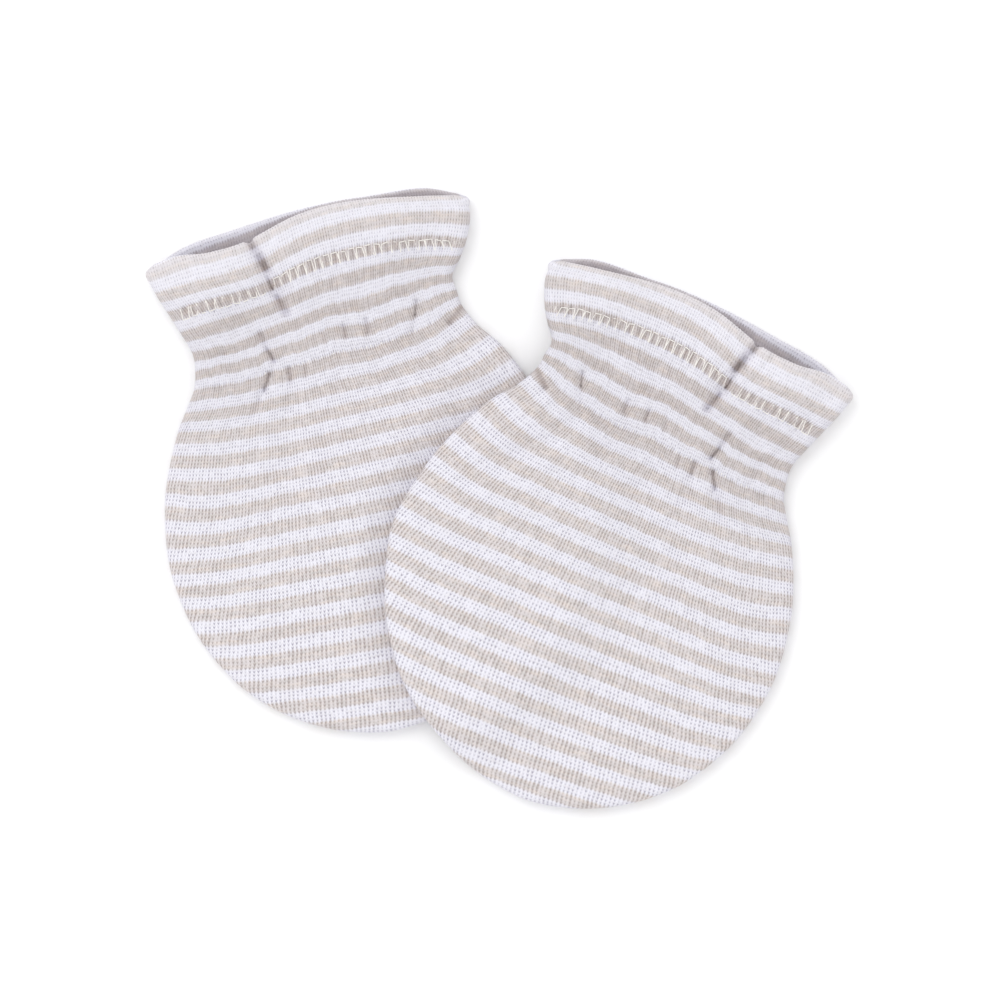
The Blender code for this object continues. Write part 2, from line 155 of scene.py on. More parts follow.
def smooth_step(amount):
    """0 to 1 with level ends."""
    held = np.clip(amount, 0.0, 1.0)
    return held * held * (3.0 - 2.0 * held)


def curve_through(knots, values, at):
    """A smooth curve through values at knots: one column of values, or one for each place."""
    slopes = np.gradient(values, knots, axis=0)
    low = np.clip(np.searchsorted(knots, at, side="right") - 1, 0, len(knots) - 2)
    column = np.arange(len(at)) if values.shape[1] > 1 else np.zeros(len(at), int)
    step = knots[low + 1] - knots[low]
    t = (at - knots[low]) / step
    start, end = values[low, column], values[low + 1, column]
    leave, arrive = slopes[low, column] * step, slopes[low + 1, column] * step
    hump = t * t * (3.0 - 2.0 * t)
    return start + (end - start) * hump + t * (1.0 - t) * ((1.0 - t) * leave - t * arrive)


def course(column, row):
    """One column of the course table at fractional rows."""
    return curve_through(np.arange(LAST_ROW + 1.0), COURSES[column][:, None], row)


def row_at(stripes):
    """The table row at which a number of stripes from the fold is reached."""
    rows = np.linspace(0.0, LAST_ROW, ROW_STEPS * LAST_ROW + 1)
    return np.interp(stripes, course("stripes", rows), rows)


def sides(row):
    """The mitten's left and right edge at table rows."""
    return course("left_x", row), course("right_x", row)


def share_across(x, row):
    """How far a place lies from the left edge to the right one, 0 to 1."""
    left, right = sides(row)
    return (x - left) / (right - left)


def cloth_point(panel, row, across):
    """A place in the cloth, by table row and 0 to 1 across, in the mitten's own frame."""
    stripes = course("stripes", row)
    rises = [np.zeros_like(row)]
    for place, extra in zip(("10", "30", "50", "70", "90"), BACK_RIM_RISE):
        rise = course("rise_" + place, row)
        if panel == "back":
            rise = rise + extra * np.clip(1.0 - stripes / BACK_RIM_STRIPES, 0.0, 1.0)
        rises.append(rise)
    rises.append(np.zeros_like(row))
    left_x, right_x = sides(row)
    left_y, right_y = course("left_y", row), course("right_y", row)
    x = left_x + (right_x - left_x) * across
    y = left_y + (right_y - left_y) * across + curve_through(RISE_AT, np.array(rises), across)
    return x, y


def find_row(panel, x, y):
    """The table row that runs through each point, found by halving."""
    low, high = np.zeros_like(x), np.full_like(x, LAST_ROW)
    for _ in range(HALVINGS):
        row = (low + high) / 2.0
        across = np.clip(share_across(x, row), 0.0, 1.0)
        above = cloth_point(panel, row, across)[1] > y
        low = np.where(above, row, low)
        high = np.where(above, high, row)
    return (low + high) / 2.0


def wale_at(x, row):
    """How many wales a place lies to the right of the middle one."""
    left, right = sides(row)
    return course("wales", row) * (x - course("middle_wale_x", row)) / (right - left)


def seam_line(from_row=0.0):
    """The seam, from a course's left end round the finger end to its right end."""
    rows = np.linspace(from_row, LAST_ROW, SEAM_STEPS * LAST_ROW + 1)
    end = np.linspace(0.0, 1.0, FINGER_END_STEPS + 1)[1:-1]
    left = cloth_point("front", rows, np.zeros_like(rows))
    finger_end = cloth_point("front", np.full_like(end, LAST_ROW), end)
    right = cloth_point("front", rows[::-1], np.ones_like(rows))
    return np.concatenate([np.array(piece).T for piece in (left, finger_end, right)])


def offset_from(x, y, line):
    """Each point's offset from the nearest place on a line of straight pieces."""
    start, step = line[:-1], np.diff(line, axis=0)
    offset_x = x[:, None] - start[:, 0]
    offset_y = y[:, None] - start[:, 1]
    along = (offset_x * step[:, 0] + offset_y * step[:, 1]) / (step**2).sum(axis=1)
    along = np.clip(along, 0.0, 1.0)
    offset_x -= along * step[:, 0]
    offset_y -= along * step[:, 1]
    nearest = np.arange(len(x)), np.argmin(np.hypot(offset_x, offset_y), axis=1)
    return np.stack([offset_x[nearest], offset_y[nearest]], axis=1)


def distance_to(x, y, line):
    """Distance of each point from a line of straight pieces."""
    return np.hypot(*offset_from(x, y, line).T)


# ---- Lie of the cloth ---------------------------------------------------------------------------
# The mittens lie flat: front on back, and the over mitten on the edge of the under one and down
# off it to the table. The elastic in the wrist throws folds up into the cuff and down the hand.

SEAM_GAP = 0.06
SEAM_LIP = 0.4
CROWN_REACH = 8.0
FOLD_FADE = 4.0
STITCH_FADE = 1.5
LAY_GAP = 0.3
FACING = {"front": 1.0, "back": -1.0}
PRESS_REACH = 7.0
DRAPE_SHELF = 1.5
DRAPE_REACH = 14.0
HAND_FROM_STRIPE = 12.0
PLACES = {
    "under_mitten": {"mirrored": True, "x": -29.66, "y": 7.71, "turn": math.radians(12.58)},
    "over_mitten": {"mirrored": False, "x": 23.51, "y": -8.2, "turn": math.radians(-23.4)},
}
PAIR_MIDDLE = (0.0, 0.264)

# Two ends, width across and height of each fold. Troughs have negative heights.
FOLD_COLUMNS = ("from_x", "from_y", "to_x", "to_y", "width", "height")
FRONT_FOLDS = (
    # mouth gapes
    (17.5, 48.5, 16.5, 39.0, 26.0, 2.6),
    (-22.0, 49.5, -20.0, 42.0, 20.0, 1.4),
    # long valley down the cuff and the soft ridges beside it
    (9.6, 47.0, 5.6, 31.0, 4.2, -1.2),
    (4.0, 47.5, 1.0, 34.0, 9.0, 0.7),
    (12.6, 47.5, 9.8, 39.5, 3.4, 0.5),
    # gathers in the cuff, above the elastic
    (-17.5, 35.0, -18.5, 28.5, 4.5, -0.4),
    (-13.0, 34.6, -15.5, 33.2, 4.0, -0.3),
    (-6.0, 35.5, -6.5, 29.0, 4.5, -0.4),
    (16.0, 33.0, 15.5, 27.0, 4.5, -0.4),
    (-12.0, 36.0, -12.5, 29.0, 5.0, 0.4),
    (21.0, 34.5, 20.0, 26.5, 4.5, 0.4),
    # soft dips over the elastic
    (-19.6, 27.2, -18.4, 21.8, 3.8, -0.45),
    (-29.6, 20.6, -28.2, 19.4, 2.4, -0.6),
    (11.4, 27.4, 9.9, 21.9, 3.8, -0.45),
    (11.3, 19.2, 15.4, 13.2, 4.0, -0.45),
    (7.5, 17.4, 8.4, 13.0, 4.6, -0.45),
    (19.5, 25.5, 19.3, 21.0, 3.6, -0.4),
    (-23.5, 20.5, -24.5, 17.0, 3.4, 0.35),
    # flutes that run out over the top of the hand
    (-17.0, 18.0, -25.0, 7.5, 7.5, -0.75),
    (-25.0, 7.5, -32.0, 0.0, 8.5, -0.45),
    (-9.2, 16.4, -10.4, 13.0, 4.5, -0.4),
    (-1.0, 15.0, -0.6, 9.0, 5.0, -0.35),
    (-14.5, 18.0, -19.0, 7.0, 6.0, 0.3),
    (8.4, 12.0, 12.2, 1.0, 8.5, -0.5),
    (12.2, 1.0, 14.0, -5.0, 9.0, -0.25),
    (22.5, 5.5, 31.0, 1.5, 9.0, -0.3),
    (4.5, 15.0, 6.0, 6.0, 6.0, 0.3),
)
# Sharp creases, pinched into the outer face. The inner face follows them only in part.
CREASE_SHARE_INSIDE = 0.3
FRONT_CREASES = (
    # floor of the long valley
    (9.9, 47.4, 7.5, 39.8, 2.5, -0.95),
    (9.7, 46.6, 9.0, 44.2, 2.6, -0.8),
    (8.1, 42.2, 7.3, 39.6, 2.4, -0.95),
    (7.6, 38.3, 7.0, 35.7, 1.1, -0.95),
    (7.0, 35.7, 6.5, 34.0, 1.8, -0.45),
    (6.5, 33.9, 5.3, 30.4, 2.0, -0.95),
    # pinches between the wrist's gathers
    (-19.9, 27.4, -19.0, 24.6, 1.0, -0.85),
    (-19.0, 24.6, -17.2, 20.4, 1.3, -0.35),
    (-28.6, 24.6, -25.4, 21.8, 2.6, -1.5),
    (-9.5, 25.8, -9.3, 23.4, 1.7, -0.8),
    (-4.9, 25.7, -4.8, 23.6, 1.5, -0.85),
    (-0.8, 25.4, -0.7, 23.6, 1.6, -0.5),
    (11.3, 27.5, 10.8, 25.6, 2.0, -0.75),
    (10.6, 24.6, 9.8, 21.8, 1.2, -1.15),
    (4.1, 19.6, 4.4, 17.6, 1.9, -0.65),
    (7.3, 19.9, 7.5, 17.6, 1.7, -0.95),
    (11.2, 19.7, 12.8, 16.9, 1.4, -1.0),
    (12.8, 16.9, 16.4, 12.2, 1.8, -0.45),
)
BACK_FOLDS = (
    (-21.5, 30.5, -20.5, 20.0, 4.0, 0.35),
    (-14.0, 28.5, -14.5, 21.5, 3.6, 0.3),
    (-7.5, 31.5, -7.0, 19.0, 4.2, 0.4),
    (-1.5, 28.0, -1.0, 20.5, 3.6, 0.3),
    (5.5, 30.0, 6.5, 18.0, 4.2, 0.4),
    (13.0, 28.0, 13.5, 20.0, 3.8, 0.3),
    (19.0, 29.0, 20.0, 18.5, 4.0, 0.35),
)


def depth_inside(x, y, outline):
    """Distance of each point from a closed outline, positive inside it and negative outside."""
    closed = np.concatenate([outline, outline[:1]])
    start_x, start_y = closed[:-1].T
    end_x, end_y = closed[1:].T
    spans = (start_y > y[:, None]) != (end_y > y[:, None])
    rise = np.where(end_y == start_y, 1.0, end_y - start_y)
    crossing = start_x + (y[:, None] - start_y) * (end_x - start_x) / rise
    inside = (spans & (x[:, None] < crossing)).sum(axis=1) % 2 == 1
    return np.where(inside, 1.0, -1.0) * distance_to(x, y, closed)


def to_table(name, x, y):
    """Points of a mitten's own frame, placed on the table, in millimetres."""
    place = PLACES[name]
    own_x = -x if place["mirrored"] else x
    cosine, sine = math.cos(place["turn"]), math.sin(place["turn"])
    return place["x"] + own_x * cosine - y * sine, place["y"] + own_x * sine + y * cosine


def laid_out(name, points):
    """Points of a mitten's own frame as they lie round the pair's middle, in metres."""
    x, y = to_table(name, points[:, 0], points[:, 1])
    return np.stack([x - PAIR_MIDDLE[0], y - PAIR_MIDDLE[1], points[:, 2]], axis=1) * MM


def outline_of(name, from_stripe=0.0):
    """A mitten's outline on the table, or that of its hand alone."""
    rows = np.linspace(row_at(from_stripe), LAST_ROW, SEAM_STEPS * LAST_ROW + 1)
    left = cloth_point("front", rows, np.zeros_like(rows))
    right = cloth_point("front", rows[::-1], np.ones_like(rows))
    points = np.concatenate([np.array(left).T, np.array(right).T])
    return np.array(to_table(name, points[:, 0], points[:, 1])).T


def fold_height(folds, x, y):
    """Sum of the folds' heights at each point, each a soft bell across its own line."""
    total = np.zeros_like(x)
    for row in folds:
        fold = dict(zip(FOLD_COLUMNS, row))
        line = np.array([(fold["from_x"], fold["from_y"]), (fold["to_x"], fold["to_y"])])
        share = np.clip(distance_to(x, y, line) / (fold["width"] / 2.0), 0.0, 1.0)
        total += fold["height"] * 0.5 * (1.0 + np.cos(np.pi * share))
    return total


def pressed_flat(name, x, y):
    """How far the other mitten presses this one down: 0 where it lies free, 1 under the other."""
    if name == "over_mitten":
        return np.zeros_like(x)
    depth = depth_inside(*to_table(name, x, y), outline_of("over_mitten"))
    return smooth_step(1.0 + depth / PRESS_REACH)


def height_of_bed(name, x, y):
    """Height of what a mitten lies on: the table, or the under mitten's hand and the slope off."""
    if name == "under_mitten":
        return np.zeros_like(x)
    hand = outline_of("under_mitten", HAND_FROM_STRIPE)
    depth = depth_inside(*to_table(name, x, y), hand)
    slope = smooth_step(1.0 + (depth + DRAPE_SHELF) / DRAPE_REACH)
    return (COURSES["side_height"].min() + LAY_GAP) * slope


# ---- Sewing that pulls the cloth in -------------------------------------------------------------
# The hem is ladder-stitched on its fourth stripe, and a soft elastic is sewn inside the wrist
# along its two edges. Each stitch leaves a dimple, and the cloth puffs up between them.

LADDER_STRIPES = (3.9, 4.86)
LADDER_STEP = 1.7
LADDER_BOX = 1.15
LADDER_HALF_RUN = 40.0
LADDER_SPLAY = 0.2
LADDER_DIMPLE = 0.42
LADDER_DIMPLE_REACH = 0.6
LADDER_SOFTNESS = 0.45
LADDER_DROP = 0.32
LADDER_DROP_FROM_X = -13.0
LADDER_DROP_REACH = 12.0
ELASTIC_STRIPES = (8.55, 11.85)
ELASTIC_STEPS = (1.6, 1.12)
ELASTIC_DIMPLES = (0.24, 0.38)
ELASTIC_SUNK = (0.19, 0.17)
ELASTIC_REACH = 0.34
ELASTIC_STRENGTH = 0.75
ELASTIC_STRENGTH_SPREAD = 0.35
ELASTIC_BETWEEN = 0.2
ELASTIC_BEAT = 0.8
ELASTIC_STITCH_WANDER = 0.45
ELASTIC_EDGE_WANDER = 0.1
# Size, pitch and seed of what a hand does not keep even in the ladder stitch.
LADDER_UNEVEN = {
    "place": (0.2, 2.3, 2.0),
    "jog": (0.12, 9.7, 5.0),
    "width": (0.2, 6.9, 9.0),
    "splay": (0.9, 8.1, 4.0),
    "bar": (0.06, 5.1, 5.0),
    "foot": (0.08, 7.7, 8.0),
    "tilt": (0.07, 6.3, 1.0),
    "depth": (0.07, 11.3, 2.0),
    "bar_depth": (0.8, 4.7, 6.0),
}


def wander(value, seed):
    """A slow, uneven wave between -1 and 1, for what a hand does not keep even."""
    parts = zip((0.31, 0.83, 1.9), (0.5, 0.32, 0.18), (1.3, 4.1, 2.2))
    waves = [share * np.sin(pitch * value + phase * (seed + 1.0)) for pitch, share, phase in parts]
    return sum(waves)


def uneven(part, x):
    """One unevenness of the ladder stitch at places across."""
    size, pitch, seed = LADDER_UNEVEN[part]
    return size * wander(pitch * x, seed)


def ladder_boxes(left, right):
    """Left ends of the ladder stitch's boxes between two places across."""
    at = np.arange(left, right, LADDER_STEP)
    return at + uneven("place", at) + uneven("jog", at)


def ladder_drop(x):
    """Stripes by which the hem stitch wanders down off its stripe at the mitten's left."""
    return LADDER_DROP * smooth_step((LADDER_DROP_FROM_X - x) / LADDER_DROP_REACH)


def stitch_relief(x, stripes):
    """Dimples at the ladder stitches and along the elastic's two edges."""
    middle = sum(LADDER_STRIPES) / 2.0
    reach = (LADDER_STRIPES[1] - LADDER_STRIPES[0]) / 2.0
    off_ladder = np.abs(stripes - middle - ladder_drop(x))
    ladder = smooth_step((reach + LADDER_SOFTNESS - off_ladder) / LADDER_SOFTNESS)
    pinches = ladder_boxes(-LADDER_HALF_RUN, LADDER_HALF_RUN) - (LADDER_STEP - LADDER_BOX) / 2.0
    nearest = np.abs(x[:, None] - pinches).min(axis=1)
    relief = -LADDER_DIMPLE * ladder * (1.0 - smooth_step(nearest / LADDER_DIMPLE_REACH))
    for number in range(2):
        along = x + ELASTIC_STITCH_WANDER * wander(x, number)
        edge = ELASTIC_STRIPES[number] + ELASTIC_EDGE_WANDER * wander(x, number + 3.0)
        near = np.exp(-(((stripes - edge) / ELASTIC_REACH) ** 2))
        beat = 0.5 + 0.5 * np.cos(2.0 * np.pi * along / ELASTIC_STEPS[number])
        strength = ELASTIC_STRENGTH + ELASTIC_STRENGTH_SPREAD * wander(0.7 * x, number + 6.0)
        dimple = ELASTIC_BETWEEN + ELASTIC_BEAT * beat
        relief -= ELASTIC_DIMPLES[number] * strength * near * dimple
    return relief


def rolled_over(distance, radius):
    """0 to 1 up the quarter circle by which the cloth turns over at an edge."""
    return np.sqrt(1.0 - (1.0 - np.clip(distance / radius, 0.0, 1.0)) ** 2)


def outer_height(name, panel, x, y, row, distance, lip, crease_share=1.0):
    """Height of the outer face: a lip at the seam, rolled over by a quarter circle, then level."""
    side = course("side_height", row)
    stripes = course("stripes", row)
    start = side / 2.0 + (SEAM_GAP / 2.0 + SEAM_LIP) * FACING[panel]
    radius = (side - SEAM_GAP) / 2.0 - SEAM_LIP
    rolled = rolled_over(distance, radius)
    inner = np.clip(distance - radius, 0.0, None)
    fade = smooth_step(inner / FOLD_FADE)
    relief = smooth_step(inner / STITCH_FADE) * stitch_relief(x, stripes)
    if panel == "front":
        crown = (course("middle_height", row) - side) * (1.0 - np.exp(-inner / CROWN_REACH))
        free = 1.0 - pressed_flat(name, x, y)
        folds = fold_height(FRONT_FOLDS, x, y) + crease_share * fold_height(FRONT_CREASES, x, y)
        top = side + (crown + fade * folds + crease_share * relief) * free
        height = start + (top - start) * rolled - (SEAM_LIP - lip)
    else:
        height = start * (1.0 - rolled) + fade * fold_height(BACK_FOLDS, x, y)
        height -= crease_share * relief
        height += SEAM_LIP - lip
    return height + height_of_bed(name, x, y)


# ---- Shaping of a panel's mesh ------------------------------------------------------------------
# A panel's outer face is a fine grid along the courses with rings round its seam. The cloth turns
# in at the seam as a narrow lip, and over the mouth's fold in a half circle into the hem inside.

# Inset of each ring of the lip, its height over the seam, and the run of cloth back to the edge.
LIP_RINGS = ((0.45, 0.0, 0.68), (0.22, 0.05, 0.44), (0.06, 0.17, 0.24), (0.0, 0.4, 0.0))
ROLL_INSETS = (0.03, 0.12, 0.27, 0.5, 0.8, 1.15, 1.6, 2.2, 3.0)
WALL_SHARES = (0.0, 0.004, 0.015, 0.035, 0.07, 0.11, 0.17, 0.25, 0.35, 0.5, 0.65, 0.82, 1.0)
WALL_CORNER = 0.35
RING_REACH = 7.0
COLUMNS_ACROSS = 186
CUFF_STEP = 0.16
HAND_STEP = 0.26
CUFF_STRIPES = 17.0
BEND_FROM_STRIPE = 22.0
CORNER_STRIPE = 36.0
FOLD_STEPS = 12
FOLD_LOOPS = 0.09
FOLD_LOOPS_EVEN = 0.7
FOLD_LOOPS_SPREAD = 0.3
LEAN_ROWS = 0.5
CORNER_DROP = 0.55
CORNER_REACH = 2.6
CORNER_STRIPES = 5.0
RIM_STRIPES = 0.45
LEFT_DROP = {"front": 0.32, "back": 0.33}
LEFT_FROM_X = -9.0
LEFT_REACH = 15.0
RIGHT_RISE = {"front": 0.38, "back": 0.0}
RIGHT_FROM_X = 17.5
RIGHT_REACH = 8.0
# Painted shade in creases, at stitch dimples and inside the mouth, and how it runs round the fold.
CREASE_SHADE_FROM = 0.45
CREASE_SHADE_FULL = 1.0
DIMPLE_SHADE_FROM_SEAM = 1.6
DIMPLE_SHADE = 1.1
MOUTH_SHADE = 1.9
MOUTH_SHADE_CURVE = 1.5
CAP_BULGE = 0.4
# How far the cloth's stripes have slipped from the table's courses, down the mitten and across it.
DRIFT_AT = (0.0, 9.0, 12.5, 20.0, 24.0, 33.0, 36.0, 41.0)
DRIFT = (0.0, 0.0, 0.13, 0.12, 0.06, 0.04, 0.0, -0.1)
GATHER_STRIPE = 10.2
GATHER_REACH = 3.2
GATHER_PULL = 0.16
CUT_SHIFT = -0.13
BACK_SHIFT_AT = (-33.0, -30.0, -8.0, 0.0, 8.0, 19.0)
BACK_SHIFT = (1.9, 1.45, 1.0, 0.72, 0.42, 0.28)
BACK_SHIFT_STRIPES = 11.0
PANEL_LENGTH = 108.0
LAYOUT_LEFT = -43.8
LAYOUT_BOTTOM = -55.4
OUTER_SHARE = 0.8
COURSE_HEIGHT = STRIPE / COURSES_A_STRIPE
WALE_WIDTH = 0.55
LAYOUT_MARGIN = 1.6


def rim_stripes(panel, x):
    """Stripes from the fold to the first mesh row: more at the left and the rounded corners."""
    row = np.full_like(x, row_at(RIM_STRIPES))
    left_x, right_x = sides(row)
    from_side = np.minimum(x - left_x, right_x - x)
    corner = CORNER_DROP * np.clip(1.0 - from_side / CORNER_REACH, 0.0, 1.0) ** 2
    left = LEFT_DROP[panel] * smooth_step((LEFT_FROM_X - x) / LEFT_REACH)
    right = RIGHT_RISE[panel] * smooth_step((x - RIGHT_FROM_X) / RIGHT_REACH)
    return RIM_STRIPES + corner + left - right


def grid_rows():
    """Table rows of the mesh rows, closer in the cuff, as far as the finger end's corners."""
    cuff = np.arange(RIM_STRIPES, CUFF_STRIPES, CUFF_STEP)
    hand_rows = int((CORNER_STRIPE - CUFF_STRIPES) / HAND_STEP)
    hand = np.linspace(CUFF_STRIPES, CORNER_STRIPE, hand_rows)
    return row_at(np.concatenate([cuff, hand]))


def finger_end(steps):
    """Points at even distances along the finger end's seam, between its two corners."""
    line = seam_line(row_at(CORNER_STRIPE))
    run = np.concatenate([[0.0], np.cumsum(np.hypot(*np.diff(line, axis=0).T))])
    at = np.linspace(0.0, run[-1], steps + 1)
    return np.stack([np.interp(at, run, line[:, 0]), np.interp(at, run, line[:, 1])], axis=1)


def rim_point(panel, x):
    """The point of the first mesh row at a given x."""
    rim = row_at(rim_stripes(panel, x))
    return np.stack(cloth_point(panel, rim, share_across(x, rim)), axis=1)


def lean_of_wales(panel, x):
    """How far the wales at the mouth's rim run across for each step up."""
    rim = row_at(rim_stripes(panel, x))
    across = share_across(x, rim)
    top, below = cloth_point(panel, rim, across), cloth_point(panel, rim + LEAN_ROWS, across)
    return (top[0] - below[0]) / (top[1] - below[1])


def flat_grid(panel):
    """Mesh points out to the seam, in rows along the courses that turn round the finger end."""
    rows = grid_rows()
    row, across = np.meshgrid(rows, np.linspace(0.0, 1.0, COLUMNS_ACROSS + 1), indexing="ij")
    stripes = course("stripes", row.ravel()).reshape(row.shape)
    first = np.full(COLUMNS_ACROSS + 1, rows[0])
    first_left, first_right = sides(first)
    rim_x = first_left + across[0] * (first_right - first_left)
    fade = np.clip((CORNER_STRIPES - stripes) / (CORNER_STRIPES - RIM_STRIPES), 0.0, 1.0)
    drop = (rim_stripes(panel, rim_x) - RIM_STRIPES) * fade
    row = row_at(stripes + drop)
    grid = np.stack(cloth_point(panel, row.ravel(), across.ravel()), axis=1)
    grid = grid.reshape(len(rows), COLUMNS_ACROSS + 1, 2)
    start, end = row_at(BEND_FROM_STRIPE), row_at(CORNER_STRIPE)
    bend = smooth_step((rows - start) / (end - start))
    return grid + bend[:, None, None] * (finger_end(COLUMNS_ACROSS) - grid[-1])


def seam_from_rim():
    """The seam as far as the mouth's rim on both sides."""
    return seam_line(row_at(RIM_STRIPES))


def drawn_in(panel, grid):
    """The grid drawn in to the innermost ring at its edge, and less so further in."""
    points = grid.reshape(-1, 2)
    offset = offset_from(*points.T, seam_from_rim())
    distance = np.maximum(np.hypot(*offset.T), 1e-6)
    push = ROLL_INSETS[-1] * np.clip(1.0 - distance / RING_REACH, 0.0, 1.0)
    moved = (points + offset * (push / distance)[:, None]).reshape(grid.shape)
    rim_x = grid[0, :, 0]
    from_left = np.clip(1.0 - (rim_x - rim_x[0]) / RING_REACH, 0.0, 1.0)
    from_right = np.clip(1.0 - (rim_x[-1] - rim_x) / RING_REACH, 0.0, 1.0)
    moved[0] = rim_point(panel, rim_x + ROLL_INSETS[-1] * (from_left - from_right))
    return moved


def edge_of(number):
    """The grid's edge from the mouth's left corner round the finger end to its right corner."""
    return np.concatenate([number[:, 0], number[-1, 1:-1], number[::-1, -1]])


def mouth_of(loops, first_row):
    """The chain of points across the mouth, from the left outermost ring to the right one."""
    left = [loop[0] for loop in loops]
    right = [loop[-1] for loop in loops[::-1]]
    return np.concatenate([left, first_row[1:-1], right])


def grid_faces(number):
    """Quads of a grid of point numbers."""
    corners = (number[:-1, :-1], number[1:, :-1], number[1:, 1:], number[:-1, 1:])
    return np.stack([corner.ravel() for corner in corners], axis=1)


def strip_faces(first, second):
    """Quads between two chains of point numbers."""
    return np.stack([first[:-1], first[1:], second[1:], second[:-1]], axis=1)


def side_faces(loops, grid):
    """Quads of one face of a panel: its rings, then its grid."""
    strips = [strip_faces(first, second) for first, second in zip(loops[:-1], loops[1:])]
    return np.concatenate(strips + [grid_faces(grid)])


def wall_at(row):
    """Thickness of the cloth: double in the hem."""
    past_hem = course("stripes", row) * STRIPE - HEM_DEPTH
    single = smooth_step(past_hem / HEM_EDGE_SLOPE + 0.5)
    return HEM_WALL + (CLOTH_WALL - HEM_WALL) * single


def run_of_cloth(row, distance):
    """How far in from the edge the cloth at a distance would lie if the edge were opened flat."""
    radius = (course("side_height", row) - SEAM_GAP) / 2.0 - SEAM_LIP
    turn = np.arccos(1.0 - np.clip(distance / radius, 0.0, 1.0))
    return radius * (turn - np.pi / 2.0 + 1.0) + np.clip(distance - radius, 0.0, None)


def rings_at(panel, edge, inward, insets):
    """Chains of points inside the seam, each with its two ends on the mouth's rim."""
    rings = [edge + inset[:, None] * inward for inset in insets]
    for ring, inset in zip(rings, insets):
        ring[[0, -1]] = rim_point(panel, edge[[0, -1], 0] + np.array([inset[0], -inset[-1]]))
    return rings


def place_in_cloth(panel, x, y):
    """Wales from the middle one and stripes from the fold, also past the finger end."""
    row = find_row(panel, x, y)
    across = np.clip(share_across(x, row), 0.0, 1.0)
    beyond = np.clip(cloth_point(panel, row, across)[1] - y, 0.0, None)
    return wale_at(x, row), course("stripes", row) + beyond / STRIPE


def cut_shift(panel, x, stripes):
    """Stripes by which the cloth lies below the table's courses. The back's mouth is cut askew."""
    if panel == "front":
        return np.full_like(x, CUT_SHIFT)
    askew = np.interp(x, BACK_SHIFT_AT, BACK_SHIFT)
    return CUT_SHIFT + askew * np.clip(1.0 - stripes / BACK_SHIFT_STRIPES, 0.0, 1.0)


def side_of_panel(name, panel, inner):
    """One face of a panel: points, places in the cloth and the layout, painted shade, rings and
    grid.
    """
    full_grid = flat_grid(panel)
    edge = edge_of(full_grid)
    along = np.gradient(edge, axis=0)
    along /= np.hypot(*along.T)[:, None]
    inward = np.stack([-along[:, 1], along[:, 0]], axis=1)
    edge_row = find_row(panel, *edge.T)
    wall = wall_at(edge_row)
    if inner:
        insets = [wall + (ROLL_INSETS[-1] - wall) * share for share in WALL_SHARES]
        rolls = runs = insets
        lips = [SEAM_LIP] * len(insets)
    else:
        rolls = [np.zeros(len(edge))] * len(LIP_RINGS)
        rolls += [np.full(len(edge), inset) for inset in ROLL_INSETS]
        insets = [np.full(len(edge), inset) for inset, _, _ in LIP_RINGS] + rolls[len(LIP_RINGS) :]
        lips = [lip for _, lip, _ in LIP_RINGS] + [SEAM_LIP] * len(ROLL_INSETS)
        runs = [run_of_cloth(edge_row, roll) for roll in rolls]
        for place, (_, _, tucked_in) in enumerate(LIP_RINGS):
            runs[place] = runs[place] - tucked_in
    rings = rings_at(panel, edge, inward, insets)
    cloth_rings = rings_at(panel, edge, inward, runs)

    grid = drawn_in(panel, full_grid)
    number = np.arange(grid.shape[0] * grid.shape[1]).reshape(grid.shape[:2])
    edge_numbers = edge_of(number)
    flat = grid.reshape(-1, 2)
    flat[edge_numbers] = rings[-1]
    distance = distance_to(*flat.T, seam_from_rim())
    layout = flat.copy()
    wale, stripes = place_in_cloth(panel, *np.concatenate([flat] + cloth_rings[:-1]).T)
    firsts = [len(flat) + place * len(edge) for place in range(len(rings) - 1)]
    loops = [first + np.arange(len(edge)) for first in firsts]
    flat = np.concatenate([flat] + rings[:-1])
    distance = np.concatenate([distance] + rolls[:-1])
    ring_lips = [np.full(len(edge), lip) for lip in lips[:-1]]
    lip = np.concatenate([np.full(len(layout), SEAM_LIP)] + ring_lips)
    spread = np.linspace(-LAYOUT_MARGIN, ROLL_INSETS[-1], len(rings))
    layout = np.concatenate([layout] + [edge + shift * inward for shift in spread[:-1]])

    x, y = flat.T
    row = find_row(panel, x, y)
    if inner:
        thickness = wall_at(row)
        distance_in = np.maximum(distance - thickness, 0.0)
        height = outer_height(name, panel, x, y, row, distance, lip, CREASE_SHARE_INSIDE)
        seam = course("side_height", row) / 2.0 + height_of_bed(name, x, y)
        toward = FACING[panel]
        seam = seam + toward * SEAM_GAP / 2.0
        height = seam + (height - toward * thickness - seam) * rolled_over(distance_in, WALL_CORNER)
    else:
        height = outer_height(name, panel, x, y, row, distance, lip)
    place = np.stack([x, y, height], axis=1)
    # Painted shade: darker colour in the front's creases and stitch dimples, and inside the back's
    # mouth.
    painted_shade = np.zeros_like(x)
    if panel == "front" and not inner:
        crease_shade = (-fold_height(FRONT_CREASES, x, y) - CREASE_SHADE_FROM) / CREASE_SHADE_FULL
        dimple_shade = -smooth_step((distance - DIMPLE_SHADE_FROM_SEAM) / DIMPLE_SHADE_FROM_SEAM)
        dimple_shade *= stitch_relief(x, course("stripes", row))
        painted_shade = np.clip(crease_shade, 0.0, 1.0) + DIMPLE_SHADE * np.clip(dimple_shade, 0.0, None)
        painted_shade *= 1.0 - pressed_flat(name, x, y)
    if panel == "back" and inner:
        painted_shade += MOUTH_SHADE
    gathered = np.exp(-(((stripes - GATHER_STRIPE) / GATHER_REACH) ** 2))
    stripes = stripes - cut_shift(panel, x, stripes) - np.interp(stripes, DRIFT_AT, DRIFT)
    stripes = stripes + GATHER_PULL * gathered * wander(1.7 * x, 11.0)
    cloth = np.stack([wale, stripes * COURSES_A_STRIPE], axis=1)
    return place, cloth, layout, painted_shade, loops + [edge_numbers], number


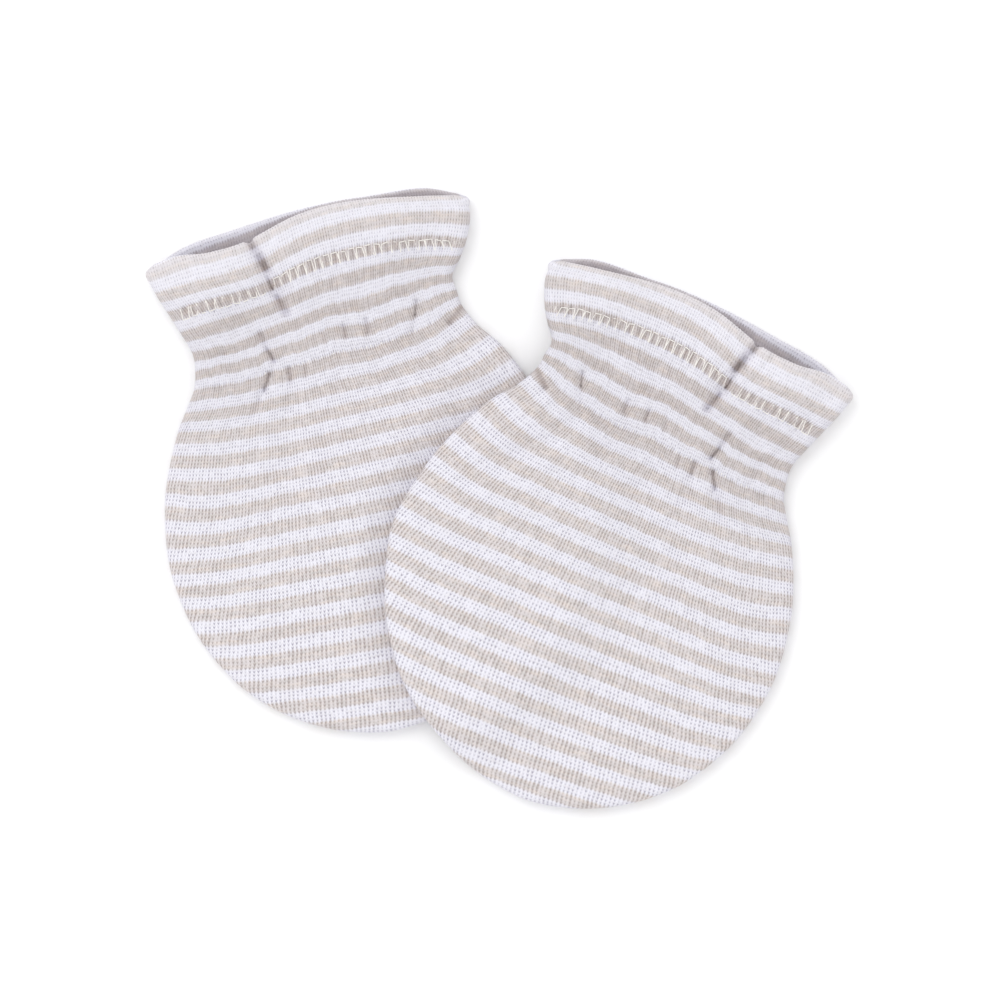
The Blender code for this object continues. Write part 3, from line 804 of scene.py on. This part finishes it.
def panel_faces(name, panel):
    """A panel as a closed shell: points, painted shade, faces, corners in cloth and in layout, end
    caps.
    """
    outer, outer_cloth, outer_layout, outer_painted_shade, outer_loops, outer_grid = side_of_panel(
        name, panel, False
    )
    inner, inner_cloth, inner_layout, inner_painted_shade, inner_loops, inner_grid = side_of_panel(
        name, panel, True
    )
    count = len(outer)
    inner_loops = [loop + count for loop in inner_loops]
    inner_grid = inner_grid + count
    body_courses = inner_cloth[:, 1].copy()
    fold_length = np.pi * HEM_WALL / 2.0
    rim = rim_stripes(panel, inner[:, 0])
    rim_courses = (rim - cut_shift(panel, inner[:, 0], rim)) * COURSES_A_STRIPE
    inner_cloth[:, 1] = 2.0 * rim_courses - fold_length / COURSE_HEIGHT - inner_cloth[:, 1]

    outer_mouth = mouth_of(outer_loops, outer_grid[0])
    inner_mouth = mouth_of(inner_loops, inner_grid[0])
    second_row = mouth_of([loop[1:-1] for loop in outer_loops], outer_grid[1])
    start, end = outer[outer_mouth], inner[inner_mouth - count]
    middle, arm = (start + end) / 2.0, (start - end) / 2.0
    radius = np.linalg.norm(arm, axis=1, keepdims=True)
    ahead = start - outer[second_row]
    ahead[:, 0] = ahead[:, 1] * lean_of_wales(panel, start[:, 0])
    ahead -= arm * (ahead * arm).sum(axis=1, keepdims=True) / radius**2
    ahead *= radius / np.linalg.norm(ahead, axis=1, keepdims=True)
    from_corner = np.minimum(middle[:, :1] - middle[0, 0], middle[-1, 0] - middle[:, :1])
    unevenness = FOLD_LOOPS_EVEN + FOLD_LOOPS_SPREAD * wander(3.1 * middle[:, :1], 12.0)
    loops_seen = FOLD_LOOPS * unevenness
    loops_seen *= smooth_step(from_corner / ROLL_INSETS[-1] - 1.0)
    ahead *= 1.0 + loops_seen * np.where(np.arange(len(middle)) % 2 == 0, 1.0, -1.0)[:, None]
    turns = np.linspace(0.0, np.pi, FOLD_STEPS + 1)
    arcs = [middle + arm * math.cos(turn) + ahead * math.sin(turn) for turn in turns[1:-1]]
    chains = [outer_mouth]
    for step in range(FOLD_STEPS - 1):
        chains.append(2 * count + step * len(outer_mouth) + np.arange(len(outer_mouth)))
    chains.append(inner_mouth)

    points = np.concatenate([outer, inner] + arcs)
    shares = turns[1:-1] / np.pi
    # The painted shade runs round the fold into the mouth.
    start_painted_shade, end_painted_shade = outer_painted_shade[outer_mouth], inner_painted_shade[inner_mouth - count]
    to_end = [end_painted_shade * share**MOUTH_SHADE_CURVE for share in shares]
    arc_painted_shade = [start_painted_shade * (1.0 - share) + rest for share, rest in zip(shares, to_end)]
    painted_shade = np.concatenate([outer_painted_shade, inner_painted_shade] + arc_painted_shade)
    cloth = np.concatenate([outer_cloth, inner_cloth])
    squeeze = (1.0 - OUTER_SHARE) / OUTER_SHARE
    low = np.array([LAYOUT_LEFT, LAYOUT_BOTTOM])
    outer_layout = (outer_layout - low) / PANEL_LENGTH
    inner_layout = (inner_layout - low) / PANEL_LENGTH
    inner_layout[:, 0] = OUTER_SHARE + squeeze * inner_layout[:, 0]
    layout = np.concatenate([outer_layout, inner_layout])

    inner_faces = side_faces(inner_loops, inner_grid)[:, ::-1]
    lip_faces = strip_faces(inner_loops[0], outer_loops[0])
    faces = [side_faces(outer_loops, outer_grid), inner_faces, lip_faces]
    corner_cloth = [cloth[group] for group in faces]
    corner_layout = [layout[group] for group in faces]
    body = np.abs(body_courses[inner_faces - count]).mean(axis=1) * COURSE_HEIGHT > HEM_DEPTH
    body_cloth = np.stack([inner_cloth[:, 0], body_courses], axis=1)
    corner_cloth[1][body] = body_cloth[inner_faces[body] - count]

    base = strip_faces(outer_mouth, outer_mouth)
    for step in range(FOLD_STEPS):
        faces.append(strip_faces(chains[step], chains[step + 1]))
        walked = np.array([step, step, step + 1, step + 1]) / FOLD_STEPS * fold_length
        fold_cloth, fold_layout = cloth[base], layout[base]
        fold_cloth[..., 1] -= walked / COURSE_HEIGHT
        fold_layout[..., 1] += walked / PANEL_LENGTH
        corner_cloth.append(fold_cloth)
        corner_layout.append(fold_layout)

    # the two ends of the fold, each closed by a fan of triangles
    caps = []
    for tip, order in ((0, chains), (-1, chains[::-1])):
        ring = np.array([chain[tip] for chain in order])
        corner = outer_mouth[tip]
        centre = len(points)
        points = np.concatenate([points, [middle[tip] + CAP_BULGE * ahead[tip]]])
        painted_shade = np.append(painted_shade, end_painted_shade[tip])
        fan = np.stack([np.full(len(ring), centre), ring, np.roll(ring, -1)], axis=1)
        offset = (points[fan] - points[corner])[..., :2]
        fan_cloth = cloth[corner] + offset / (WALE_WIDTH, -COURSE_HEIGHT)
        caps.append((fan, fan_cloth, layout[corner] + offset / PANEL_LENGTH))
    return points, painted_shade, faces, corner_cloth, corner_layout, caps


def panel_object(name, panel, material):
    """One panel of one mitten as a finished object."""
    points, painted_shade, faces, corner_cloth, corner_layout, caps = panel_faces(name, panel)
    points = laid_out(name, points)
    faces = np.concatenate(faces)
    cloth = np.concatenate(corner_cloth).reshape(-1, 2)
    layout = np.concatenate(corner_layout).reshape(-1, 2)
    mesh = bpy.data.meshes.new(f"{name}_{panel}_cloth")
    turned = (panel == "back") != PLACES[name]["mirrored"]
    order = [3, 2, 1, 0] if turned else [0, 1, 2, 3]
    quads = faces[:, order]
    corners = np.arange(len(faces) * 4).reshape(-1, 4)[:, order].ravel()
    fans = [np.concatenate([cap[part] for cap in caps]) for part in range(3)]
    if turned:
        fans = [part[:, ::-1] for part in fans]
    mesh.from_pydata(points, [], quads.tolist() + fans[0].tolist())
    cloth = np.concatenate([cloth[corners], fans[1].reshape(-1, 2)])
    layout = np.concatenate([layout[corners], fans[2].reshape(-1, 2)])
    for map_name, values in (("cloth", cloth), ("OFBake", layout)):
        uv = mesh.uv_layers.new(name=map_name)
        uv.data.foreach_set("uv", values.astype(np.float32).ravel())
    # Painted shade for the jersey's colour, one value per point.
    attribute = mesh.attributes.new("painted_shade", "FLOAT", "POINT")
    attribute.data.foreach_set("value", painted_shade.astype(np.float32))
    smooth = np.ones(len(mesh.polygons), bool)
    smooth[-len(fans[0]) :] = False
    mesh.polygons.foreach_set("use_smooth", smooth)
    mesh.materials.append(material)
    piece = bpy.data.objects.new(mesh.name, mesh)
    bpy.context.scene.collection.objects.link(piece)
    return piece


# ---- Striped jersey -----------------------------------------------------------------------------
# Plain cotton jersey, right side out: columns of small V stitches. Stripes of oatmeal melange and
# of cool white are three and a half courses each, and run into each other by half a stitch.

COOL_WHITE = (0.865, 0.855, 0.925, 1.0)
WARM_SHADE = (0.81, 0.79, 0.825, 1.0)
OATMEAL = (0.745, 0.70, 0.71, 1.0)
OATMEAL_PINK = (0.80, 0.73, 0.705, 1.0)
OATMEAL_GREY = (0.645, 0.615, 0.61, 1.0)
GAP_DARK = (0.56, 0.51, 0.49, 1.0)
GAP_DARK_WHITE = (0.46, 0.44, 0.50, 1.0)
JERSEY_ROUGHNESS = 0.92
JERSEY_SPECULAR = 0.25
JERSEY_SHEEN = 0.12
SHEEN_ROUGHNESS = 0.5
KNIT_DEPTH = 0.00017
KNIT_RELIEF = 0.85
GAP_SHADE = 0.08
LEG_SLANT = 0.8
EDGE_SHIFT = 0.28
EDGE_TOOTH = 0.2
EDGE_SPREAD = 0.45
EDGE_SOFTNESS = 0.58
WALE_WANDER = 0.7
COURSE_WANDER = 0.7
FIBRE_SCALE = 5200.0
# Stripes from the fold over which the oatmeal pales, the dark lines set in and the knit opens.
STRETCHED_STRIPES = (1.3, 0.0)
BELOW_MOUTH_STRIPES = (0.6, 4.5)
OPENED_STRIPES = (10.0, 16.0)
# For each: how much its share adds, and what is there without it.
STRETCHED_OATMEAL = (-0.4, 1.0)
FURROW_DEPTH = (0.85, 0.25)
FURROW_BELOW_MOUTH = (0.65, 0.35)
FURROW_IN_GAPS = (0.5, 0.6)
LINE_IN_OATMEAL = (0.66, 0.22)
HOLE_BY_CHANCE = (1.5, 0.3)
HOLE_WHERE_OPENED = (0.65, 0.45)
# The next two are painted shade: over the pressed wrist, and in creases, dimples and the mouth.
PRESSED_SHADE_IN_OATMEAL = (0.17, 0.03)
PAINTED_SHADE_IN_OATMEAL = (0.4, 0.16)
CROSSING_HEIGHT = (0.6, 0.4)


def math_node(tree, operation, first, second=None, third=None):
    """A Math node; each input is a number or another node's output."""
    node = tree.nodes.new("ShaderNodeMath")
    node.operation = operation
    for place, value in enumerate((first, second, third)):
        if value is None:
            continue
        if isinstance(value, (int, float)):
            node.inputs[place].default_value = value
        else:
            tree.links.new(value, node.inputs[place])
    return node.outputs[0]


def vector_node(tree, x, y):
    """A vector from two numbers or outputs."""
    node = tree.nodes.new("ShaderNodeCombineXYZ")
    for place, value in enumerate((x, y)):
        if isinstance(value, (int, float)):
            node.inputs[place].default_value = value
        else:
            tree.links.new(value, node.inputs[place])
    return node.outputs[0]


def noise_node(tree, vector, scale, detail=2.0):
    """Noise around 0.5 at a vector."""
    node = tree.nodes.new("ShaderNodeTexNoise")
    node.inputs["Scale"].default_value = scale
    node.inputs["Detail"].default_value = detail
    tree.links.new(vector, node.inputs["Vector"])
    return node.outputs["Fac"]


def chance_node(tree, vector):
    """One random value for each whole place."""
    node = tree.nodes.new("ShaderNodeTexWhiteNoise")
    node.noise_dimensions = "2D"
    tree.links.new(vector, node.inputs["Vector"])
    return node.outputs["Value"]


def blend_node(tree, share, first, second, blend="MIX"):
    """A colour between two; each is a colour or an output."""
    node = tree.nodes.new("ShaderNodeMix")
    node.data_type = "RGBA"
    node.blend_type = blend
    for place, value in ((0, share), (6, first), (7, second)):
        if isinstance(value, (int, float, tuple)):
            node.inputs[place].default_value = value
        else:
            tree.links.new(value, node.inputs[place])
    return node.outputs[2]


def ramp_node(tree, value, low, high):
    """0 to 1 with level ends as the value goes from low to high."""
    node = tree.nodes.new("ShaderNodeMapRange")
    node.interpolation_type = "SMOOTHSTEP"
    tree.links.new(value, node.inputs["Value"])
    node.inputs["From Min"].default_value = low
    node.inputs["From Max"].default_value = high
    return node.outputs["Result"]


def matt_material(name, roughness, specular):
    """A new material, its tree and its shader."""
    material = bpy.data.materials.new(name)
    material.use_nodes = True
    shader = material.node_tree.nodes["Principled BSDF"]
    shader.inputs["Roughness"].default_value = roughness
    shader.inputs["Specular IOR Level"].default_value = specular
    return material, material.node_tree, shader


def raise_surface(tree, height, strength, depth):
    """Fine relief on the tree's shader."""
    bump = tree.nodes.new("ShaderNodeBump")
    bump.inputs["Strength"].default_value = strength
    bump.inputs["Distance"].default_value = depth
    tree.links.new(height, bump.inputs["Height"])
    tree.links.new(bump.outputs["Normal"], tree.nodes["Principled BSDF"].inputs["Normal"])


def striped_jersey(name):
    """The knit: stripes, melange, V stitches and their relief, in counts of wales and courses."""
    material, tree, shader = matt_material(name, JERSEY_ROUGHNESS, JERSEY_SPECULAR)
    shader.inputs["Sheen Weight"].default_value = JERSEY_SHEEN
    shader.inputs["Sheen Roughness"].default_value = SHEEN_ROUGHNESS

    uv = tree.nodes.new("ShaderNodeUVMap")
    uv.uv_map = "cloth"
    split = tree.nodes.new("ShaderNodeSeparateXYZ")
    tree.links.new(uv.outputs["UV"], split.inputs[0])
    wale, row = split.outputs[0], split.outputs[1]

    def times(first, second):
        return math_node(tree, "MULTIPLY", first, second)

    def less(first, second):
        return math_node(tree, "SUBTRACT", first, second)

    def power(value, exponent):
        return math_node(tree, "POWER", value, exponent)

    def scaled(value, factor_and_start):
        return math_node(tree, "MULTIPLY_ADD", value, *factor_and_start)

    drift = noise_node(tree, vector_node(tree, times(wale, 0.16), row), 0.3)
    wale = scaled(less(drift, 0.5), (WALE_WANDER, wale))
    lift = noise_node(tree, vector_node(tree, wale, times(row, 0.3)), 0.28)
    row = scaled(less(lift, 0.5), (COURSE_WANDER, row))

    def stripes_ramp(reach):
        return ramp_node(tree, row, COURSES_A_STRIPE * reach[0], COURSES_A_STRIPE * reach[1])

    # 0 in the middle of a wale and 1 between two wales
    off_middle = times(math_node(tree, "PINGPONG", wale, 0.5), 2.0)
    slanted = less(row, times(off_middle, LEG_SLANT))
    turn = times(slanted, 2.0 * math.pi)
    yarn = scaled(math_node(tree, "COSINE", turn), (0.5, 0.5))
    gap = less(1.0, yarn)
    between = power(off_middle, 1.7)
    hole = times(between, power(gap, 2.0))

    # one value for each stitch, one for each gap between two and a slow one for each wale
    whole_wale, whole_row = math_node(tree, "FLOOR", wale), math_node(tree, "FLOOR", slanted)
    each_stitch = chance_node(tree, vector_node(tree, math_node(tree, "ROUND", wale), whole_row))
    each_gap = chance_node(tree, vector_node(tree, whole_wale, whole_row))
    furrows = vector_node(tree, times(whole_wale, 1.7), times(row, 0.19))
    furrow = ramp_node(tree, noise_node(tree, furrows, 1.0, 2.0), 0.38, 0.62)

    ragged = scaled(off_middle, (EDGE_TOOTH, EDGE_SHIFT - EDGE_TOOTH / 2.0))
    stripe_row = math_node(tree, "ADD", row, ragged)
    half_stripe = COURSES_A_STRIPE / 2.0
    from_oatmeal = math_node(tree, "PINGPONG", less(stripe_row, half_stripe), COURSES_A_STRIPE)
    from_oatmeal = scaled(off_middle, (-EDGE_SPREAD, from_oatmeal))
    middle = half_stripe - EDGE_SPREAD / 2.0
    oatmeal = ramp_node(tree, from_oatmeal, middle + EDGE_SOFTNESS, middle - EDGE_SOFTNESS)
    stretched = stripes_ramp(STRETCHED_STRIPES)
    oatmeal = times(oatmeal, scaled(stretched, STRETCHED_OATMEAL))

    streaks = vector_node(tree, times(wale, 0.2), times(row, 0.9))
    warm = ramp_node(tree, noise_node(tree, streaks, 0.9, 3.0), 0.42, 0.7)
    grey = ramp_node(tree, noise_node(tree, streaks, 1.7, 3.0), 0.5, 0.75)
    fleck = ramp_node(tree, each_stitch, 0.45, 1.0)
    melange = blend_node(tree, warm, OATMEAL, OATMEAL_PINK)
    melange = blend_node(tree, times(grey, 0.6), melange, OATMEAL_GREY)
    melange = blend_node(tree, times(fleck, 0.55), melange, OATMEAL_GREY)
    white = blend_node(tree, times(warm, 0.35), COOL_WHITE, WARM_SHADE)
    white = blend_node(tree, times(fleck, 0.25), white, WARM_SHADE)
    yarns = blend_node(tree, oatmeal, white, melange)

    # the wrist's stitches are pressed close and the hand's stand open; painted shade darkens the
    # wrist
    opened = stripes_ramp(OPENED_STRIPES)
    furrow = scaled(furrow, FURROW_DEPTH)
    below_mouth = stripes_ramp(BELOW_MOUTH_STRIPES)
    furrow = times(furrow, scaled(below_mouth, FURROW_BELOW_MOUTH))
    furrow = times(furrow, scaled(gap, FURROW_IN_GAPS))
    line = times(times(between, furrow), scaled(oatmeal, LINE_IN_OATMEAL))
    uneven_hole = scaled(each_gap, HOLE_BY_CHANCE)
    open_hole = times(times(hole, uneven_hole), scaled(opened, HOLE_WHERE_OPENED))
    shade = math_node(tree, "ADD", line, open_hole)
    # Painted shade over the pressed wrist.
    pressed = times(less(1.0, opened), below_mouth)
    pressed_shade = times(pressed, scaled(oatmeal, PRESSED_SHADE_IN_OATMEAL))
    shade = math_node(tree, "ADD", shade, pressed_shade)
    # Painted shade in creases, at stitch dimples and inside the mouth.
    painted_shade = tree.nodes.new("ShaderNodeAttribute")
    painted_shade.attribute_name = "painted_shade"
    painted_shade_share = times(painted_shade.outputs["Fac"], scaled(oatmeal, PAINTED_SHADE_IN_OATMEAL))
    shade = math_node(tree, "ADD", shade, painted_shade_share)
    shade = scaled(gap, (GAP_SHADE, shade))
    shade = math_node(tree, "MINIMUM", shade, 1.0)
    gap_tint = blend_node(tree, oatmeal, GAP_DARK_WHITE, GAP_DARK)
    dark = blend_node(tree, 1.0, yarns, gap_tint, "MULTIPLY")
    colour = blend_node(tree, shade, yarns, dark)
    tree.links.new(colour, shader.inputs["Base Color"])

    leg = math_node(tree, "COSINE", times(off_middle, math.pi / 2.0))
    crotch = power(less(1.0, off_middle), 4.0)
    round_leg = scaled(crotch, (-0.35, power(leg, 0.7)))
    relief = times(round_leg, scaled(yarn, CROSSING_HEIGHT))
    texture = tree.nodes.new("ShaderNodeTexCoord")
    fibres = noise_node(tree, texture.outputs["Object"], FIBRE_SCALE, 3.0)
    raise_surface(tree, scaled(fibres, (0.3, relief)), KNIT_RELIEF, KNIT_DEPTH)
    return material


# ---- Fronts and backs ---------------------------------------------------------------------------
# Four panels, front and back of each mitten, sewn wrong side out round the sides and the finger
# end and then turned, so that the seam shows only as a fine line round the edge.

jersey = striped_jersey("striped_jersey")
panels = {}
for mitten in PLACES:
    for panel_name in ("back", "front"):
        node = f"{mitten}_{panel_name}"
        panels[node] = panel_object(mitten, panel_name, jersey)
        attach(panels[node], "root")
        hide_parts(node)


# ---- Hem and elastic threads --------------------------------------------------------------------
# White cotton thread. The hem's ladder stitch lies on the fourth stripe in open boxes 1.15 mm wide,
# one every 1.7 mm. A zigzag and a row of short stitches hold the elastic inside the wrist.

THREAD_RADIUS = 0.105
THREAD_WHITE = (0.97, 0.94, 0.90, 1.0)
THREAD_ROUGHNESS = 0.7
THREAD_SPECULAR = 0.3
THREAD_SIDES = 6
THREAD_CUTS = 3
THREAD_SEED = 7
TWIST_SHADE = 0.82
TWIST_SCALE = 2600.0
TWIST_DEPTH = 0.00003
TWIST_RELIEF = 0.5
SLOPE_REACH = 0.3
LADDER_ENDS = (1.0, 2.4)
LADDER_ARCH = 0.14
LADDER_JITTER = 0.03
LADDER_BURIED = 0.06
BAR_BURIED = 0.19
BAR_BURIED_SHARE = 0.5
CREASE_X = 6.9
CREASE_CLEAR = (0.2, 0.3)
# Length along the wale in stripes, and half the lean across in millimetres, of each row's stitch.
ELASTIC_STITCHES = ((0.5, 0.4), (0.3, 0.1))
ELASTIC_END = 2.0
ELASTIC_ARCH = 0.08
ELASTIC_JITTER = 0.01
STITCH_SHARES = (-0.5, -0.17, 0.17, 0.5)


def thread_tree():
    """Geometry Nodes: each edge becomes a round thread that arches up along its points' own up."""
    tree = bpy.data.node_groups.new("stitch_thread", "GeometryNodeTree")
    sockets = (
        ("Geometry", "Geometry"), ("Thread Radius", "Float"), ("Arch Height", "Float"),
        ("Unevenness", "Float"), ("Cuts", "Int"), ("Sides", "Int"), ("Thread", "Material"),
    )
    for label, kind in sockets:
        tree.interface.new_socket(label, in_out="INPUT", socket_type="NodeSocket" + kind)
    tree.interface.new_socket("Geometry", in_out="OUTPUT", socket_type="NodeSocketGeometry")
    add, link = tree.nodes.new, tree.links.new
    source, result = add("NodeGroupInput"), add("NodeGroupOutput")

    curves = add("GeometryNodeMeshToCurve")
    link(source.outputs["Geometry"], curves.inputs["Mesh"])
    divide = add("GeometryNodeSubdivideCurve")
    link(curves.outputs["Curve"], divide.inputs["Curve"])
    link(source.outputs["Cuts"], divide.inputs["Cuts"])

    along = add("GeometryNodeSplineParameter")
    half_turn = math_node(tree, "MULTIPLY", along.outputs["Factor"], math.pi)
    arch = math_node(tree, "SINE", half_turn)
    height = math_node(tree, "MULTIPLY", arch, source.outputs["Arch Height"])
    up = add("GeometryNodeInputNamedAttribute")
    up.data_type = "FLOAT_VECTOR"
    up.inputs["Name"].default_value = "up"
    lift = add("ShaderNodeVectorMath")
    lift.operation = "SCALE"
    link(up.outputs["Attribute"], lift.inputs[0])
    link(height, lift.inputs["Scale"])

    most = source.outputs["Unevenness"]
    least = math_node(tree, "MULTIPLY", most, -1.0)
    jitter = add("FunctionNodeRandomValue")
    jitter.data_type = "FLOAT_VECTOR"
    jitter.inputs["Seed"].default_value = THREAD_SEED
    link(vector_node(tree, least, least), jitter.inputs["Min"])
    link(vector_node(tree, most, most), jitter.inputs["Max"])
    shift = add("ShaderNodeVectorMath")
    shift.operation = "ADD"
    link(lift.outputs[0], shift.inputs[0])
    link(jitter.outputs["Value"], shift.inputs[1])
    arched = add("GeometryNodeSetPosition")
    link(divide.outputs["Curve"], arched.inputs["Geometry"])
    link(shift.outputs[0], arched.inputs["Offset"])

    profile = add("GeometryNodeCurvePrimitiveCircle")
    link(source.outputs["Sides"], profile.inputs["Resolution"])
    link(source.outputs["Thread Radius"], profile.inputs["Radius"])
    tube = add("GeometryNodeCurveToMesh")
    link(arched.outputs["Geometry"], tube.inputs["Curve"])
    link(profile.outputs["Curve"], tube.inputs["Profile Curve"])
    tube.inputs["Fill Caps"].default_value = True
    smooth = add("GeometryNodeSetShadeSmooth")
    link(tube.outputs["Mesh"], smooth.inputs["Geometry"])
    real = add("GeometryNodeRealizeInstances")
    link(smooth.outputs["Geometry"], real.inputs["Geometry"])
    thread = add("GeometryNodeSetMaterial")
    link(real.outputs["Geometry"], thread.inputs["Geometry"])
    link(source.outputs["Thread"], thread.inputs["Material"])
    link(thread.outputs["Geometry"], result.inputs["Geometry"])
    return tree


def twisted_thread(name):
    """Matt white sewing thread with the fine slant of its twist."""
    material, tree, shader = matt_material(name, THREAD_ROUGHNESS, THREAD_SPECULAR)
    texture = tree.nodes.new("ShaderNodeTexCoord")
    twist = tree.nodes.new("ShaderNodeTexWave")
    twist.bands_direction = "DIAGONAL"
    twist.inputs["Scale"].default_value = TWIST_SCALE
    twist.inputs["Distortion"].default_value = 1.5
    tree.links.new(texture.outputs["Object"], twist.inputs["Vector"])
    shaded = tuple(TWIST_SHADE * part for part in THREAD_WHITE[:3]) + (1.0,)
    colour = blend_node(tree, twist.outputs["Fac"], shaded, THREAD_WHITE)
    tree.links.new(colour, shader.inputs["Base Color"])
    raise_surface(tree, twist.outputs["Fac"], TWIST_RELIEF, TWIST_DEPTH)
    return material


def on_cloth(name, panel, stripes, x):
    """Places on a panel's outer face, in the mitten's own frame, and the way out of the cloth."""
    row = row_at(stripes)
    y = cloth_point(panel, row, share_across(x, row))[1]

    def height(at_x, at_y):
        at_row = find_row(panel, at_x, at_y)
        distance = distance_to(at_x, at_y, seam_from_rim())
        return outer_height(name, panel, at_x, at_y, at_row, distance, SEAM_LIP)

    run = 2.0 * SLOPE_REACH
    slope_x = (height(x + SLOPE_REACH, y) - height(x - SLOPE_REACH, y)) / run
    slope_y = (height(x, y + SLOPE_REACH) - height(x, y - SLOPE_REACH)) / run
    up = np.stack([-slope_x, -slope_y, np.ones_like(x)], axis=1)
    up /= np.linalg.norm(up, axis=1, keepdims=True)
    up *= FACING[panel]
    return np.stack([x, y, height(x, y)], axis=1), up


def ladder_stitches():
    """Each box of the hem's ladder as four corners, in stripes and millimetres across."""
    left, right = sides(row_at(np.array([sum(LADDER_STRIPES) / 2.0])))
    start = ladder_boxes(left[0] + LADDER_ENDS[0], right[0] - LADDER_ENDS[1])
    past_crease = start > CREASE_X + CREASE_CLEAR[1]
    start = start[past_crease | (start + LADDER_BOX < CREASE_X - CREASE_CLEAR[0])]
    end = start + LADDER_BOX + uneven("width", start)
    splay = LADDER_SPLAY * (1.0 + uneven("splay", start))
    drop = ladder_drop(start)
    # the boxes open upwards on one side of the crease and downwards on the other
    bar = np.where(start < CREASE_X, *LADDER_STRIPES) + drop + uneven("bar", start)
    foot = np.where(start < CREASE_X, *LADDER_STRIPES[::-1]) + drop + uneven("foot", start)
    tilt = uneven("tilt", start)
    corners = ((foot, start - splay), (bar - tilt, start), (bar + tilt, end), (foot, end + splay))
    return np.array([np.stack(corner, axis=1) for corner in corners]).transpose(1, 0, 2)


def elastic_stitches():
    """The zigzag along the elastic's upper edge, and the short stitches along its lower one."""
    made = []
    for number, (length, lean) in enumerate(ELASTIC_STITCHES):
        edge, step = ELASTIC_STRIPES[number], ELASTIC_STEPS[number]
        left, right = sides(row_at(np.array([edge])))
        x = np.arange(left[0] + ELASTIC_END, right[0] - ELASTIC_END, step / 2.0)
        x = x[::2] if number else x
        x = x - ELASTIC_STITCH_WANDER * wander(x, number)
        middle = edge + ELASTIC_EDGE_WANDER * wander(x, number + 3.0)
        zigzag = 1.0 if number else np.where(np.arange(len(x)) % 2 == 0, 1.0, -1.0)
        lean = lean * zigzag
        ends = [(middle + share * length, x + share * 2.0 * lean) for share in STITCH_SHARES]
        made.append(np.array([np.stack(end, axis=1) for end in ends]).transpose(1, 0, 2))
    return made


def sewn(name, panel, label, stitches, sunk, arch, unevenness):
    """Stitches of four points each on a panel, as one object."""
    places = stitches.reshape(-1, 2)
    points, up = on_cloth(name, panel, places[:, 0], places[:, 1])
    points = points - up * sunk
    x, y = to_table(name, points[:, 0], points[:, 1])
    turned = np.array(to_table(name, points[:, 0] + up[:, 0], points[:, 1] + up[:, 1]))
    up = np.stack([turned[0] - x, turned[1] - y, up[:, 2]], axis=1)
    points = laid_out(name, points)
    edges = [(k, k + 1) for k in range(len(points) - 1) if k % 4 != 3]
    mesh = bpy.data.meshes.new(label)
    mesh.from_pydata(points, edges, [])
    attribute = mesh.attributes.new("up", "FLOAT_VECTOR", "POINT")
    attribute.data.foreach_set("vector", up.astype(np.float32).ravel())
    piece = bpy.data.objects.new(label, mesh)
    bpy.context.scene.collection.objects.link(piece)

    threads = piece.modifiers.new("Threads", "NODES")
    threads.node_group = stitch_tree
    sizes = {
        "Thread Radius": THREAD_RADIUS * MM,
        "Arch Height": arch * MM,
        "Unevenness": unevenness * MM,
        "Cuts": THREAD_CUTS,
        "Sides": THREAD_SIDES,
        "Thread": sewing_thread,
    }
    for item in stitch_tree.interface.items_tree:
        if item.in_out == "INPUT" and item.name in sizes:
            threads[item.identifier] = sizes[item.name]
    graph = bpy.context.evaluated_depsgraph_get()
    made = bpy.data.meshes.new_from_object(piece.evaluated_get(graph))
    piece.modifiers.clear()
    piece.data = made
    made.name = label
    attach(piece, "root")
    return piece


stitch_tree = thread_tree()
sewing_thread = twisted_thread("white_sewing_thread")
for mitten in PLACES:
    for panel_name in ("back", "front"):
        node = f"{mitten}_{panel_name}"
        on_front = panel_name == "front"
        boxes = ladder_stitches()
        buried = LADDER_BURIED + uneven("depth", boxes[..., 1])
        buried[:, 1:3] += BAR_BURIED * (BAR_BURIED_SHARE + uneven("bar_depth", boxes[:, 1:2, 1]))
        buried = buried.reshape(-1, 1)
        ladder = sewn(
            mitten, panel_name, f"{node}_hem_thread", boxes,
            sunk=buried if on_front else THREAD_RADIUS,
            arch=LADDER_ARCH if on_front else 0.0, unevenness=LADDER_JITTER,
        )
        rows = elastic_stitches()
        depths = [np.full((4 * len(row), 1), depth) for row, depth in zip(rows, ELASTIC_SUNK)]
        elastic = sewn(
            mitten, panel_name, f"{node}_elastic_thread", np.concatenate(rows),
            sunk=np.concatenate(depths) if on_front else THREAD_RADIUS,
            arch=ELASTIC_ARCH if on_front else 0.0, unevenness=ELASTIC_JITTER,
        )
